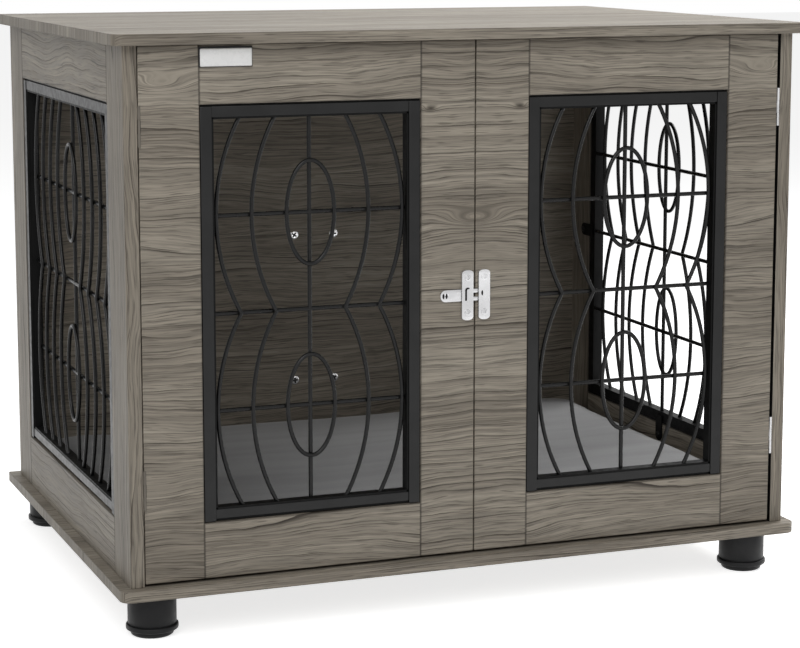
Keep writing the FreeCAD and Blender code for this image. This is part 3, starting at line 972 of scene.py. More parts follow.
@dataclass
class CrossRecessShade(ScrewHead):
    """Black painted shade that fills a screw's cross recess."""

    arm: float = 0.62
    half: float = 0.19
    level: float = 0.5
    height: float = 0.47

    def shape(self) -> Piece:
        """Make a cross that ends just below the head's top, for the tree to copy.

        Returns:
            The piece.
        """
        outline = [Vector((x, y, self.rise * self.level)) for x, y in self.cross()]
        mesh = prism(outline, Vector((0, 0, self.rise * self.height)))
        return new_piece("cross_recess_shape", mesh)


@dataclass
class Screws:
    """Places for screws, each with the way that its head faces."""

    places: list[tuple[Vector, Vector, float]] = field(default_factory=list)

    def add(self, place: Vector, way: Vector, twist: float) -> None:
        """Add one screw."""
        self.places.append((place, way, twist))

    def grow(self, name: str, head: ScrewHead, finish: Finish) -> Piece:
        """Set the heads.

        Args:
            name: The piece's name.
            head: The head to repeat.
            finish: The finish of the heads.

        Returns:
            The piece.
        """
        mesh = bpy.data.meshes.new("places")
        mesh.from_pydata([place for place, _, _ in self.places], [], [])
        way = mesh.attributes.new("way", "FLOAT_VECTOR", "POINT")
        way.data.foreach_set("vector", [part for _, facing, _ in self.places for part in facing])
        twist = mesh.attributes.new("twist", "FLOAT", "POINT")
        twist.data.foreach_set("value", [turn for _, _, turn in self.places])
        shape = head.shape()
        piece = grown(name, mesh, repeat_tree(), {"Shape": shape, "Finish": finish.material()})
        bpy.data.objects.remove(shape)
        return piece


@dataclass
class Boards:
    """The boards of the cabinet and its doors, each eased along its edges.

    A shift says where in the grain a board was cut; a lie says which way the growth lines stack.
    """

    ease: float = 0.7 * MM
    tight: float = 0.12 * MM
    smooth: float = math.radians(14)
    corner: float = 12 * MM
    corner_steps: int = 12
    slab_lie: Point = (0.0, 1.0, 0.25)
    end_lie: Point = (0.0, 1.0, 0.06)
    edge_bend: float = 0.12
    clear: float = 5 * MM
    top_reach: float = 1.5 * MM
    side_reach: float = 2.3 * MM
    gap_shade_strip: float = 8 * MM
    knot: Point = (0.052, 0.0, 0.553)
    eye: Point = (0.0, 0.0, 0.433)
    leaf: Point = (0.352, 0.0, 0.586)
    leaf_swirl: float = 0.011
    cut: Point = (0.7, 1.3, 0.9)
    slab_shift: float = 0.31
    stile_shifts: Point = (1.7, 0.43, 0.91)
    rail_shifts: Point = (2.3, 0.37, 0.77)
    back_shift: float = 3.1
    batten_shift: float = 4.4
    door_shift: float = 0.53

    def build(self) -> None:
        """Make every board and dress it."""
        for number, node in enumerate(("top_board", "base_board"), 1):
            self.slab(node, self.slab_shift * number)
        stiles, rails = ("front_stile", "rear_stile"), ("top_rail", "bottom_rail")
        for number, side in enumerate(("left_side", "right_side")):
            panel = self.panel(side, stiles)
            for parts, run, (first, step, apart) in ((stiles, GrainRun.UPRIGHT, self.stile_shifts),
                                                     (rails, GrainRun.DEEP, self.rail_shifts)):
                for order, part in enumerate(parts):
                    shift = first + step * order + apart * number
                    self.board(f"{side}_{part}", CABINET, run, shift, panel=panel)
        for node in ("back_panel_left", "back_panel_right"):
            self.board(node, CABINET, GrainRun.ACROSS, self.back_shift, EdgeLook.CLOSED)
        self.board("back_batten", CABINET, GrainRun.UPRIGHT, self.batten_shift, EdgeLook.WORN)
        for door in ("left_door", "right_door"):
            for order, part in enumerate(("hinge_stile", "meeting_stile", *rails)):
                self.door_board(door, part, self.door_shift * order)

    @staticmethod
    def panel(stem: str, ends: tuple[str, str]) -> tuple[Vector, Vector]:
        """The box of a framed panel, from its two outer boards.

        Args:
            stem: The panel's name.
            ends: Its two outer boards.

        Returns:
            The box's lowest and highest corners.
        """
        boxes = [corners(f"{stem}_{end}") for end in ends]
        low = Vector(min(box[0][axis] for box in boxes) for axis in range(3))
        high = Vector(max(box[1][axis] for box in boxes) for axis in range(3))
        return low, high

    def finish(self, node: str, run: GrainRun, edges: EdgeLook, shift: float,
               panel: tuple[Vector, Vector] | None = None, **more: Any) -> OakFinish:
        """The oak for one board.

        Args:
            node: The board's node.
            run: The way its grain runs.
            edges: What its edges look like.
            shift: Where in the grain the board was cut.
            panel: The box of the panel that the board is in; the sides they share get no line.
            **more: Other fields of the finish.

        Returns:
            The finish.
        """
        low, high = corners(node)
        if panel:
            sizes = high - low
            for axis in range(3):
                if sizes[axis] == min(sizes):
                    continue
                low[axis] -= self.clear if low[axis] - panel[0][axis] < MM else 0.0
                high[axis] += self.clear if panel[1][axis] - high[axis] < MM else 0.0
        middle, half = tuple((low + high) / 2), tuple((high - low) / 2)
        place = tuple(way * shift for way in self.cut)
        return OakFinish("oak_" + node, run, edges, middle, half, place, **more)

    def board(self, node: str, body: str, run: GrainRun, shift: float,
              edges: EdgeLook = EdgeLook.SEAM, reach: Flat = (0.0, 0.0), **more: Any) -> None:
        """Make one straight board.

        Args:
            node: The board's node.
            body: The body that carries it.
            run: The way its grain runs.
            shift: Where in the grain the board was cut.
            edges: What its edges look like.
            reach: How far it closes the gap to its left and above it.
            **more: Other fields of the finish.
        """
        low, high = corners(node)
        low.x -= reach[0]
        high.z += reach[1]
        outline = [Vector((x, y, low.z)) for x, y in box_outline(low.xy, high.xy)]
        ease = self.tight if edges is EdgeLook.CLOSED else self.ease
        mesh = prism(outline, Vector((0, 0, high.z - low.z)), ease, smooth_below=self.smooth)
        piece = new_piece(node + "_oak", mesh, self.finish(node, run, edges, shift, **more))
        # The strip of this stile in the gap beside the right door gets black painted shade.
        if node == "right_side_front_stile":
            self.shade_gap(mesh, low)
        settle(piece, body, "grey_oak_board", node)

    def shade_gap(self, mesh: Mesh, low: Vector) -> None:
        """Paint black shade on the strip of the stile that shows in the gap beside the right door.

        Args:
            mesh: The stile's mesh.
            low: The lowest corner of its box.
        """
        cut = low.y + self.gap_shade_strip
        shape = bmesh.new()
        shape.from_mesh(mesh)
        parts = shape.verts[:] + shape.edges[:] + shape.faces[:]
        bmesh.ops.bisect_plane(shape, geom=parts, plane_co=(0, cut, 0), plane_no=(0, 1, 0))
        shape.to_mesh(mesh)
        shape.free()
        mesh.materials.append(BLACK_SHADE.material())
        for face in mesh.polygons:
            if face.normal.x < -FACING_SHARE and face.center.y < cut:
                face.material_index = 1

    def door_board(self, door: str, part: str, shift: float) -> None:
        """Make one board of a door, cut as a mirror of the other door's.

        Args:
            door: The door's name.
            part: Which of its boards it is.
            shift: Where in the grain the board was cut.
        """
        def figure(place: Point) -> Point:
            """Where a figure of the front lies in the board's own grain."""
            return tuple(Vector((-place[0], 0, place[2])) + Vector(self.cut) * shift)

        panel = self.panel(door, ("hinge_stile", "meeting_stile"))
        more = {"mirrored": door == "right_door", "panel": panel}
        if part == "meeting_stile":
            more |= {"knot": figure(self.knot), "eye": figure(self.eye)}
        if part == "hinge_stile":
            more |= {"eye": figure(self.leaf), "swirl": self.leaf_swirl}
        beside = self.side_reach if (door, part) == ("left_door", "hinge_stile") else 0.0
        above = 0.0 if part == "bottom_rail" else self.top_reach
        self.board(f"{door}_{part}", door, GrainRun.ACROSS, shift, reach=(beside, above), **more)

    def slab(self, node: str, shift: float) -> None:
        """Make the top or the base, with round front corners and its own grain on each edge.

        Args:
            node: The slab's node.
            shift: Where in the grain the slab was cut.
        """
        low, high = corners(node)
        flat = [(high.x, high.y), (low.x, high.y)]
        for x, start in ((low.x + self.corner, math.pi), (high.x - self.corner, 1.5 * math.pi)):
            centre = (x, low.y + self.corner)
            flat += arc(centre, self.corner, start, start + math.pi / 2, self.corner_steps)
        outline = [Vector((x, y, low.z)) for x, y in flat]
        mesh = prism(outline, Vector((0, 0, high.z - low.z)), self.ease, smooth_below=self.smooth)
        finish = self.finish(node, GrainRun.ACROSS, EdgeLook.WORN, shift, lie=self.slab_lie)
        piece = new_piece(node + "_oak", mesh, finish)
        for kind, lie in (("_edge", OakFinish.lie), ("_end", self.end_lie)):
            other = replace(finish, name=finish.name + kind, lie=lie, bend=self.edge_bend)
            mesh.materials.append(other.material())
        for face in mesh.polygons:
            if abs(face.normal.z) < FACING_SHARE:
                face.material_index = 1 if abs(face.normal.y) > abs(face.normal.x) else 2
        settle(piece, CABINET, "grey_oak_board", node)


@dataclass
class Grille:
    """A steel frame with bent wires, rods, screw tabs and their screws.

    A depth is measured inwards from the frame's outer face.
    """

    node: str
    body: str
    facing: Facing
    middle: Vector
    half_width: float
    half_height: float
    bows: int
    bar: float = 12.4 * MM
    ease: float = 0.6 * MM
    smooth: float = math.radians(20)
    upright_depth: Flat = (0.8 * MM, 15 * MM)
    cross_depth: Flat = (1.5 * MM, 15 * MM)
    # Black blocks behind the top and bottom grooves paint their shade.
    top_groove: float = 1.2 * MM
    low_groove: float = 2.6 * MM
    groove_shade_depth: Flat = (4 * MM, 15 * MM)
    lip: float = 2.1 * MM
    lip_depth: Flat = (2.3 * MM, 15 * MM)
    lit_depth: float = 2.2 * MM
    tab_depth: Flat = (15 * MM, 17 * MM)
    tab_half: float = 8 * MM
    tab_reach: float = 22.9 * MM
    tab_lap: float = 10 * MM
    tab_ease: float = 0.4 * MM
    tab_steps: int = 12
    wire: float = 2.3 * MM
    foot: float = 38.5 * MM
    rise: float = 26.5 * MM
    oval: Flat = (26.5 * MM, 55 * MM)
    bow_depth: float = 8 * MM
    rod_depth: float = 12 * MM
    rod_seat: float = 2 * MM
    sides: int = 14
    bow_steps: int = 28
    oval_steps: int = 64
    head: ScrewHead = field(default_factory=lambda: ScrewHead(3.6 * MM, 1.6 * MM))
    twist: Flat = (0.4, 0.7)

    def at(self, along: float, depth: float, up: float) -> Vector:
        """A point of the grille in the crate's frame.

        Args:
            along: How far to the side of the middle.
            depth: How far behind the outer face.
            up: How far above the middle.

        Returns:
            The point.
        """
        if self.facing is Facing.FRONT:
            return self.middle + Vector((along, depth, up))
        inward = 1 if self.facing is Facing.LEFT else -1
        return self.middle + Vector((inward * depth, along, up))

    @property
    def inward(self) -> Vector:
        """The way into the cabinet."""
        return self.at(0, 1, 0) - self.at(0, 0, 0)

    @property
    def inner_width(self) -> float:
        """Half the clear width between the uprights."""
        return self.half_width - self.bar

    @property
    def inner_height(self) -> float:
        """Half the clear height between the cross bars."""
        return self.half_height - self.bar

    def build(self) -> None:
        """Make the grille's pieces."""
        settle(self.bars(), self.body, "black_steel", self.node)
        settle(self.wires(), self.body, "black_steel")
        settle(self.screws(), self.body, "black_steel")

    def block(self, shape: Shape, along: Flat, depth: Flat, up: Flat, ease: float = 0.0) -> None:
        """Add one bar between limits along the grille's three ways.

        Args:
            shape: The shape to add to.
            along: Its ends to the sides of the middle.
            depth: Its front and its back.
            up: Its ends above and below the middle.
            ease: The width of its eased edges.
        """
        (left, right), (low, high) = sorted(along), sorted(up)
        outline = [self.at(a, d, low) for a, d in box_outline((left, depth[0]), (right, depth[1]))]
        add_prism(shape, outline, Vector((0, 0, high - low)), ease)

    def bars(self) -> Piece:
        """Make the bars with their inner lips, the grooves at top and bottom with black blocks of
        painted shade behind them, and the tabs.

        Returns:
            The piece.
        """
        shape = bmesh.new()
        wide, tall = self.inner_width, self.inner_height
        top, bottom = self.half_height, -self.half_height
        upper, lower = top - self.top_groove, bottom + self.low_groove
        across, ease = (-wide, wide), self.ease
        for side in (-1, 1):
            along = (side * wide, side * self.half_width)
            self.block(shape, along, self.upright_depth, (bottom, upper), ease)
        for up in ((tall, upper), (lower, -tall)):
            self.block(shape, across, self.cross_depth, up, ease)
        for side in (-1, 1):
            along = (side * (wide - self.lip), side * (wide + ease))
            self.block(shape, along, self.lip_depth, (-tall, tall))
            up = (side * (tall - self.lip), side * (tall + ease))
            self.block(shape, across, self.lip_depth, up)
        self.block(shape, (-self.half_width, self.half_width), self.groove_shade_depth, (upper, top))
        self.block(shape, across, self.groove_shade_depth, (bottom, lower))
        for side in (-1, 1):
            self.tab(shape, side, True)
            self.tab(shape, side, False)
        piece = new_piece(self.node + "_frame", mesh_of(shape, self.smooth), BLACK_STEEL)
        # Faces sunk behind the lit front, and faces turned from the front and from above, take the
        # black painted shade: the lips, the blocks behind the grooves and the bars' inner sides.
        piece.data.materials.append(BLACK_SHADE.material())
        for face in piece.data.polygons:
            sunk = self.inward.dot(face.center - self.middle) > self.lit_depth
            turned = max(-self.inward.dot(face.normal), face.normal.z) < FACING_SHARE
            face.material_index = 1 if sunk or turned else 0
        return piece

    def tab(self, shape: Shape, side: int, sideways: bool) -> None:
        """Add one round-ended tab that laps the frame's back.

        Args:
            shape: The shape to add to.
            side: Which of the two opposite tabs it is.
            sideways: Whether it points to a side, or else up or down.
        """
        edge, half = self.half_width if sideways else self.half_height, self.tab_half
        far, near = edge + self.tab_reach - half, edge - self.tab_lap
        flat = [(-half, near), *arc((0.0, far), half, math.pi, 0.0, self.tab_steps), (half, near)]
        shallow, deep = self.tab_depth
        if sideways:
            outline = [self.at(side * reach, shallow, across) for across, reach in flat]
        else:
            outline = [self.at(across, shallow, side * reach) for across, reach in flat]
        add_prism(shape, outline, self.inward * (deep - shallow), self.tab_ease)

    def wires(self) -> Piece:
        """Bend the wires and lay the rods behind them.

        Returns:
            The piece.
        """
        wires = Wires()
        tall, depth = self.inner_height, self.rod_depth
        for side in (-1, 1):
            for order in range(1, self.bows + 1):
                foot = side * order * self.foot
                lower = self.bow(foot, side, -tall, 0.0)
                wires.line(lower + self.bow(foot, side, 0.0, tall)[1:])
            ring = circle((0.0, 0.0), 1.0, self.oval_steps)
            level = side * tall / 2
            wires.line([self.at(self.oval[0] * x, self.bow_depth, level + self.oval[1] * z)
                        for x, z in ring], True)
        high, wide = tall + self.rod_seat, self.inner_width + self.rod_seat
        wires.line([self.at(0, depth, -high), self.at(0, depth, high)])
        for up in (-tall / 2, 0.0, tall / 2):
            wires.line([self.at(-wide, depth, up), self.at(wide, depth, up)])
        return wires.grow(self.node + "_wires", self.wire, self.sides, BLACK_WIRE)

    def bow(self, foot: float, side: int, low: float, high: float) -> list[Vector]:
        """One bow of a wire between two levels.

        Args:
            foot: Where its ends stand.
            side: Which way it bows out.
            low: The level of its lower end.
            high: The level of its upper end.

        Returns:
            The points along it.
        """
        half = (high - low) / 2
        radius = (half * half + self.rise * self.rise) / (2 * self.rise)
        reach = math.asin(half / radius)
        path = arc((self.rise - radius, low + half), radius, -reach, reach, self.bow_steps)
        return [self.at(foot + side * out, self.bow_depth, up) for out, up in path]

    def screws(self) -> Piece:
        """Drive one screw through each tab.

        Returns:
            The piece.
        """
        screws = Screws()
        wide = self.half_width + self.tab_reach - self.tab_half
        tall = self.half_height + self.tab_reach - self.tab_half
        first, step = self.twist
        for number, (along, up) in enumerate(((-wide, 0), (wide, 0), (0, -tall), (0, tall))):
            screws.add(self.at(along, self.tab_depth[1], up), self.inward, first + step * number)
        return screws.grow(self.node + "_screws", self.head, BLACK_STEEL)


@dataclass
class Grilles:
    """The four grilles of the crate, two in the doors and two in the sides."""

    door_aside: float = 184.95 * MM
    door_up: float = 343.85 * MM
    door_half: Flat = (121.25 * MM, 219.25 * MM)
    door_bows: int = 2
    side_face: float = 387.5 * MM
    side_up: float = 343 * MM
    side_half: Flat = (208.6 * MM, 220.1 * MM)
    side_bows: int = 4

    def build(self) -> None:
        """Make the grilles, doors first."""
        sides = ((Facing.LEFT, -1), (Facing.RIGHT, 1))
        for facing, sign in sides:
            door = f"{facing.value}_door"
            middle = Vector((sign * self.door_aside, DOOR_FACE, self.door_up))
            Grille(door + "_grille", door, Facing.FRONT, middle,
                   *self.door_half, self.door_bows).build()
        for facing, sign in sides:
            node = f"{facing.value}_side_grille"
            middle = Vector((sign * self.side_face, 0, self.side_up))
            Grille(node, CABINET, facing, middle, *self.side_half, self.side_bows).build()


@dataclass
class Foot:
    """A moulded leg with a ring, and its glide; the profiles are radii and levels in mm."""

    corner: str
    segments: int = 72
    smooth: float = math.radians(50)
    leg_profile: tuple[Flat, ...] = (
        (0.0, 6.5), (26.6, 6.5), (27.4, 6.7), (27.9, 7.2), (28.1, 7.9), (28.1, 10.8), (27.9, 11.5),
        (27.4, 12.0), (26.6, 12.2), (25.2, 12.3), (25.2, 13.1), (25.9, 13.2), (26.1, 13.5),
        (26.1, 48.4), (25.7, 49.0), (0.0, 49.0))
    glide_profile: tuple[Flat, ...] = (
        (0.0, 0.0), (19.6, 0.0), (21.2, 0.3), (22.4, 1.1), (23.0, 2.2), (23.2, 3.4), (23.2, 5.2),
        (22.9, 5.9), (22.2, 6.2), (5.0, 6.2), (5.0, 6.5), (0.0, 6.5))

    def build(self) -> None:
        """Turn the leg and the glide."""
        leg, glide = f"{self.corner}_leg", f"{self.corner}_glide"
        low, high = corners(leg)
        centre = (low + high) / 2
        piece = new_piece(leg + "_moulding", self.lathe(centre, self.leg_profile), BLACK_PLASTIC)
        settle(piece, CABINET, "black_plastic", leg)
        piece = new_piece(glide + "_pad", self.lathe(centre, self.glide_profile), BLACK_PLASTIC)
        settle(piece, glide, "black_plastic", glide)

    def lathe(self, centre: Vector, profile: tuple[Flat, ...]) -> Mesh:
        """Turn a profile round the foot's middle.

        Args:
            centre: The foot's middle.
            profile: Radii and levels in millimetres, from the bottom up.

        Returns:
            The turned mesh.
        """
        shape = bmesh.new()
        rings = []
        for radius, level in profile:
            ring = circle(centre.xy, radius * MM, self.segments if radius else 1)
            rings.append([shape.verts.new((x, y, level * MM)) for x, y in ring])
        skin(shape, rings)
        return mesh_of(shape, self.smooth)


@dataclass
class Latch:
    """The sliding latch: guide plate, keeper plate, bolt and their screws.

    The plates are flat castings with a channel behind their middle, which the bolt goes through.
    """

    level: float = 350 * MM
    aside: float = 9.8 * MM
    plate_half: float = 6.8 * MM
    plate_tall: float = 27.5 * MM
    plate_round: Flat = (6.2 * MM, 4.0 * MM)
    round_steps: int = 10
    squareness: float = 2.1
    ramp: Flat = (6.9 * MM, 13.4 * MM)
    ramp_steps: int = 8
    thick: float = 1.2 * MM
    lift: float = 2.6 * MM
    rim: float = 0.6 * MM
    rim_steps: int = 2
    rim_sharp: float = math.radians(60)
    smooth: float = math.radians(30)
    screw_reach: float = 19 * MM
    head: ScrewHead = field(default_factory=lambda: ScrewHead(3.5 * MM, 1.0 * MM))
    twists: Flat = (0.5, 1.5)
    plate_sink: float = 0.9 * MM
    hook_place: Flat = (-3.2 * MM, 1.4 * MM)
    hook_outline: tuple[Flat, ...] = (
        (0.0, -6.9), (1.265, -7.5), (2.3, -6.9), (2.3, 4.3), (2.9, 5.1), (5.2, 5.4), (5.2, 6.7),
        (2.7, 7.2), (0.92, 6.5), (0.0, 4.7))
    keeper_place: Flat = (-3.9 * MM, 1.8 * MM)
    keeper_mark: Flat = (2.8 * MM, 2.3 * MM)
    bolt_depth: Flat = (0.3 * MM, 2.3 * MM)
    bolt_half: float = 6.5 * MM
    bolt_round: float = 6.0 * MM
    bolt_steps: int = 8
    bolt_ease: float = 0.35 * MM
    bolt_sink: float = 1.2 * MM
    fork_half: float = 2.2 * MM
    fork_end: float = -6 * MM
    grips: tuple[float, ...] = (-38.9 * MM, -35.4 * MM)
    grip_mark: Flat = (3.0 * MM, 2.3 * MM)
    mark_bulge: float = 0.55
    mark_steps: int = 8
    ridge_aside: float = 2.9 * MM
    ridge_radius: float = 4.0 * MM
    ridge_turn: float = 48.0
    ridge_fade: float = 80.0
    ridge_half: float = 0.6 * MM
    ridge_rise: float = 0.85 * MM
    ridge_root: float = 0.2 * MM
    ridge_steps: int = 10
    ridge_shoulder: Flat = (0.6, 0.75)

    def build(self) -> None:
        """Make the latch's pieces."""
        front = DOOR_FACE - self.thick - self.lift
        hook = [(self.hook_place[0] + x * MM, self.hook_place[1] + z * MM)
                for x, z in self.hook_outline]
        crescent = self.crescent(*self.keeper_place, *self.keeper_mark)
        for node, body, centre, mark in (("latch_guide", "left_door", -self.aside, hook),
                                         ("latch_keeper", "right_door", self.aside, crescent)):
            # The hook slot and the keeper's crescent are sunk and painted black as shade.
            marks = [[(centre + x, self.level + z) for x, z in mark]]
            piece = sink_shaded_recesses(node + "_plate", self.plate(centre, front), BRIGHT_STEEL, marks, front,
                             self.plate_sink)
            settle(piece, body, "bright_steel", node)
            screws = Screws()
            for way, twist in zip((-1, 1), self.twists):
                place = Vector((centre, front, self.level + way * self.screw_reach))
                screws.add(place, FORWARD, twist)
            settle(screws.grow(node + "_screws", self.head, BRIGHT_STEEL), body, "bright_steel")
        self.bolt()

    def plate(self, centre: float, front: float) -> Mesh:
        """Cast one flat plate with a channel for the bolt behind its middle.

        Args:
            centre: Where the plate's middle stands.
            front: Where its front face is.

        Returns:
            The plate's mesh.
        """
        side, tip = self.plate_round
        power = 2 / self.squareness
        stations = []
        for step in range(1, self.round_steps + 1):
            turn = math.pi / 2 * step / self.round_steps
            up = self.plate_tall - tip + tip * max(math.cos(turn), 0.0) ** power
            stations.append((up, self.plate_half - side * (1 - math.sin(turn) ** power), 0.0))
        for step in range(self.ramp_steps + 1):
            share = step / self.ramp_steps
            up = self.ramp[1] + (self.ramp[0] - self.ramp[1]) * share
            stations.append((up, self.plate_half, self.lift * share * share * (3 - 2 * share)))
        stations += [(-up, wide, raised) for up, wide, raised in stations[::-1]]
        shape = bmesh.new()
        rows = []
        for up, wide, raised in stations:
            section = box_outline((-wide, front), (wide, DOOR_FACE - raised))
            rows.append([shape.verts.new((centre + x, y, self.level + up)) for x, y in section])
        skin(shape, rows)
        shape.faces.new(rows[0])
        shape.faces.new(rows[-1][::-1])
        bmesh.ops.recalc_face_normals(shape, faces=shape.faces[:])
        rim = [edge for edge in shape.edges if edge.calc_face_angle(0.0) > self.rim_sharp]
        bmesh.ops.bevel(shape, geom=rim, offset=self.rim, segments=self.rim_steps, profile=0.5,
                        affect="EDGES")
        return mesh_of(shape, self.smooth)

    def bolt(self) -> None:
        """Make the bolt with its round end, its fork, its grip marks sunk and painted black as
        shade, and its grip ridges.
        """
        low, high = corners("latch_bolt")
        back, front = (DOOR_FACE - depth for depth in self.bolt_depth)
        tall, bend, fork, deep = self.bolt_half, self.bolt_round, self.fork_half, self.fork_end
        flat = []
        for up, start in ((tall - bend, math.pi / 2), (bend - tall, math.pi)):
            flat += arc((low.x + bend, up), bend, start, start + math.pi / 2, self.bolt_steps)
        flat += [(high.x, -tall), (high.x, -fork), (deep, -fork)]
        flat += [(deep, fork), (high.x, fork), (high.x, tall)]
        outline = [Vector((x, back, self.level + z)) for x, z in flat]
        marks = [[(x, self.level + z) for x, z in self.crescent(place, 0.0, *self.grip_mark)]
                 for place in self.grips]
        mesh = prism(outline, Vector((0, front - back, 0)), self.bolt_ease)
        piece = sink_shaded_recesses("latch_bolt_slider", mesh, BRIGHT_STEEL, marks, front, self.bolt_sink)
        settle(piece, "latch_bolt", "bright_steel", "latch_bolt")
        shape = bmesh.new()
        for place in self.grips:
            self.ridge(shape, place + self.ridge_aside, front)
        piece = new_piece("latch_bolt_ridges", mesh_of(shape, self.smooth), BRIGHT_STEEL)
        settle(piece, "latch_bolt", "bright_steel")

    def crescent(self, place: float, up: float, tall: float, wide: float) -> list[Flat]:
        """The outline of a crescent that bulges to the left.

        Args:
            place: Where its left side is.
            up: How far its middle is above the latch's level.
            tall: Half its height.
            wide: Its width at the middle.

        Returns:
            The outline's sides and heights.
        """
        turns = [math.pi * (step / self.mark_steps - 0.5) for step in range(self.mark_steps + 1)]
        bulge = self.mark_bulge * tall
        outer = [(place + bulge * (1 - math.cos(t)), up + tall * math.sin(t)) for t in turns]
        inner = [(place + bulge + (wide - bulge) * math.cos(t), up + tall * math.sin(t))
                 for t in turns[-2:0:-1]]
        return outer + inner

    def ridge(self, shape: Shape, place: float, front: float) -> None:
        """Add one curved grip ridge to the bolt's face.

        Args:
            shape: The shape to add to.
            place: Where the ridge's left side is.
            front: Where the bolt's front face is.
        """
        rows = []
        shoulder, slope = self.ridge_shoulder
        for step in range(self.ridge_steps + 1):
            share = 2 * step / self.ridge_steps - 1
            turn = math.radians(self.ridge_turn * share)
            x = place + self.ridge_radius * (1 - math.cos(turn))
            z = self.ridge_radius * math.sin(turn)
            half = self.ridge_half * math.cos(turn) ** 0.5
            high = self.ridge_rise * math.cos(math.radians(self.ridge_fade * share))
            section = [(-half, self.ridge_root), (-half * shoulder, -high * slope), (0, -high),
                       (half * shoulder, -high * slope), (half, self.ridge_root)]
            rows.append([shape.verts.new((x + dx, front + dy, self.level + z))
                         for dx, dy in section])
        skin(shape, rows)
        shape.faces.new(rows[0][::-1])
        shape.faces.new(rows[-1])


@dataclass
class Trim:
    """The blank plate on the left door with a black rim of painted shadow round it, and the screws
    in the back.
    """

    plate_low: Flat = (-306.2 * MM, 603 * MM)
    plate_high: Flat = (-250.7 * MM, 621.5 * MM)
    plate_thick: float = 2.4 * MM
    plate_ease: float = 0.8 * MM
    plate_steps: int = 1
    rim_low: Flat = (-307.5 * MM, 602.2 * MM)
    rim_high: Flat = (-250.1 * MM, 623.6 * MM)
    rim_thick: float = 1.1 * MM
    rim_ease: float = 0.3 * MM
    rim_steps: int = 2
    smooth: float = math.radians(20)
    back_face: float = 261.5 * MM
    screw_columns: tuple[float, ...] = (-27 * MM, 27 * MM)
    screw_rows: tuple[float, ...] = (157.5 * MM, 349 * MM, 540.5 * MM)
    head: Flat = (5.8 * MM, 2.2 * MM)
    twist: Point = (0.3, 0.9, 8.0)

    def build(self) -> None:
        """Make the trim."""
        mesh = self.sheet(self.plate_low, self.plate_high, self.plate_thick,
                          self.plate_ease, self.plate_steps)
        settle(new_piece("blank_plate", mesh, WHITE_PLATE), "left_door", "bright_steel")
        # The black rim round the plate, widest above it, is the plate's painted shadow.
        mesh = self.sheet(self.rim_low, self.rim_high, self.rim_thick,
                          self.rim_ease, self.rim_steps)
        settle(new_piece("blank_plate_backing", mesh, BLACK_PLASTIC), "left_door", "black_plastic")
        screws = Screws()
        first, step, lean = self.twist
        for column in self.screw_columns:
            for order, row in enumerate(self.screw_rows):
                place = Vector((column, self.back_face, row))
                screws.add(place, FORWARD, first + step * order + lean * column)
        heads = screws.grow("back_screws", ScrewHead(*self.head), NICKEL)
        settle(heads, CABINET, "bright_steel")
        # The back screws' cross recesses are filled with black painted shade.
        recesses = screws.grow("back_screw_recesses", CrossRecessShade(*self.head), BLACK_STEEL)
        settle(recesses, CABINET, "black_steel")

    def sheet(self, low: Flat, high: Flat, thick: float, ease: float, steps: int) -> Mesh:
        """A flat sheet on the door's face between two opposite corners, with eased edges."""
        outline = [Vector((x, DOOR_FACE, z)) for x, z in box_outline(low, high)]
        return prism(outline, FORWARD * thick, ease, steps, self.smooth)


@dataclass
class Hinges:
    """The steel of the hinges, kept as the frame has them."""

    corners: tuple[str, ...] = ("left_upper", "left_lower", "right_upper", "right_lower")

    def build(self) -> None:
        """Dress the leaves and pins."""
        for corner in self.corners:
            for part in ("frame_leaf", "door_leaf", "pin"):
                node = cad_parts[f"{corner}_hinge_{part}"]
                node.data.materials.clear()
                finish = GREY_PAINT if corner.startswith("left") else BRIGHT_STEEL
                node.data.materials.append(finish.material())
                LOG.info("%s dressed in %s", node.name, finish.name)


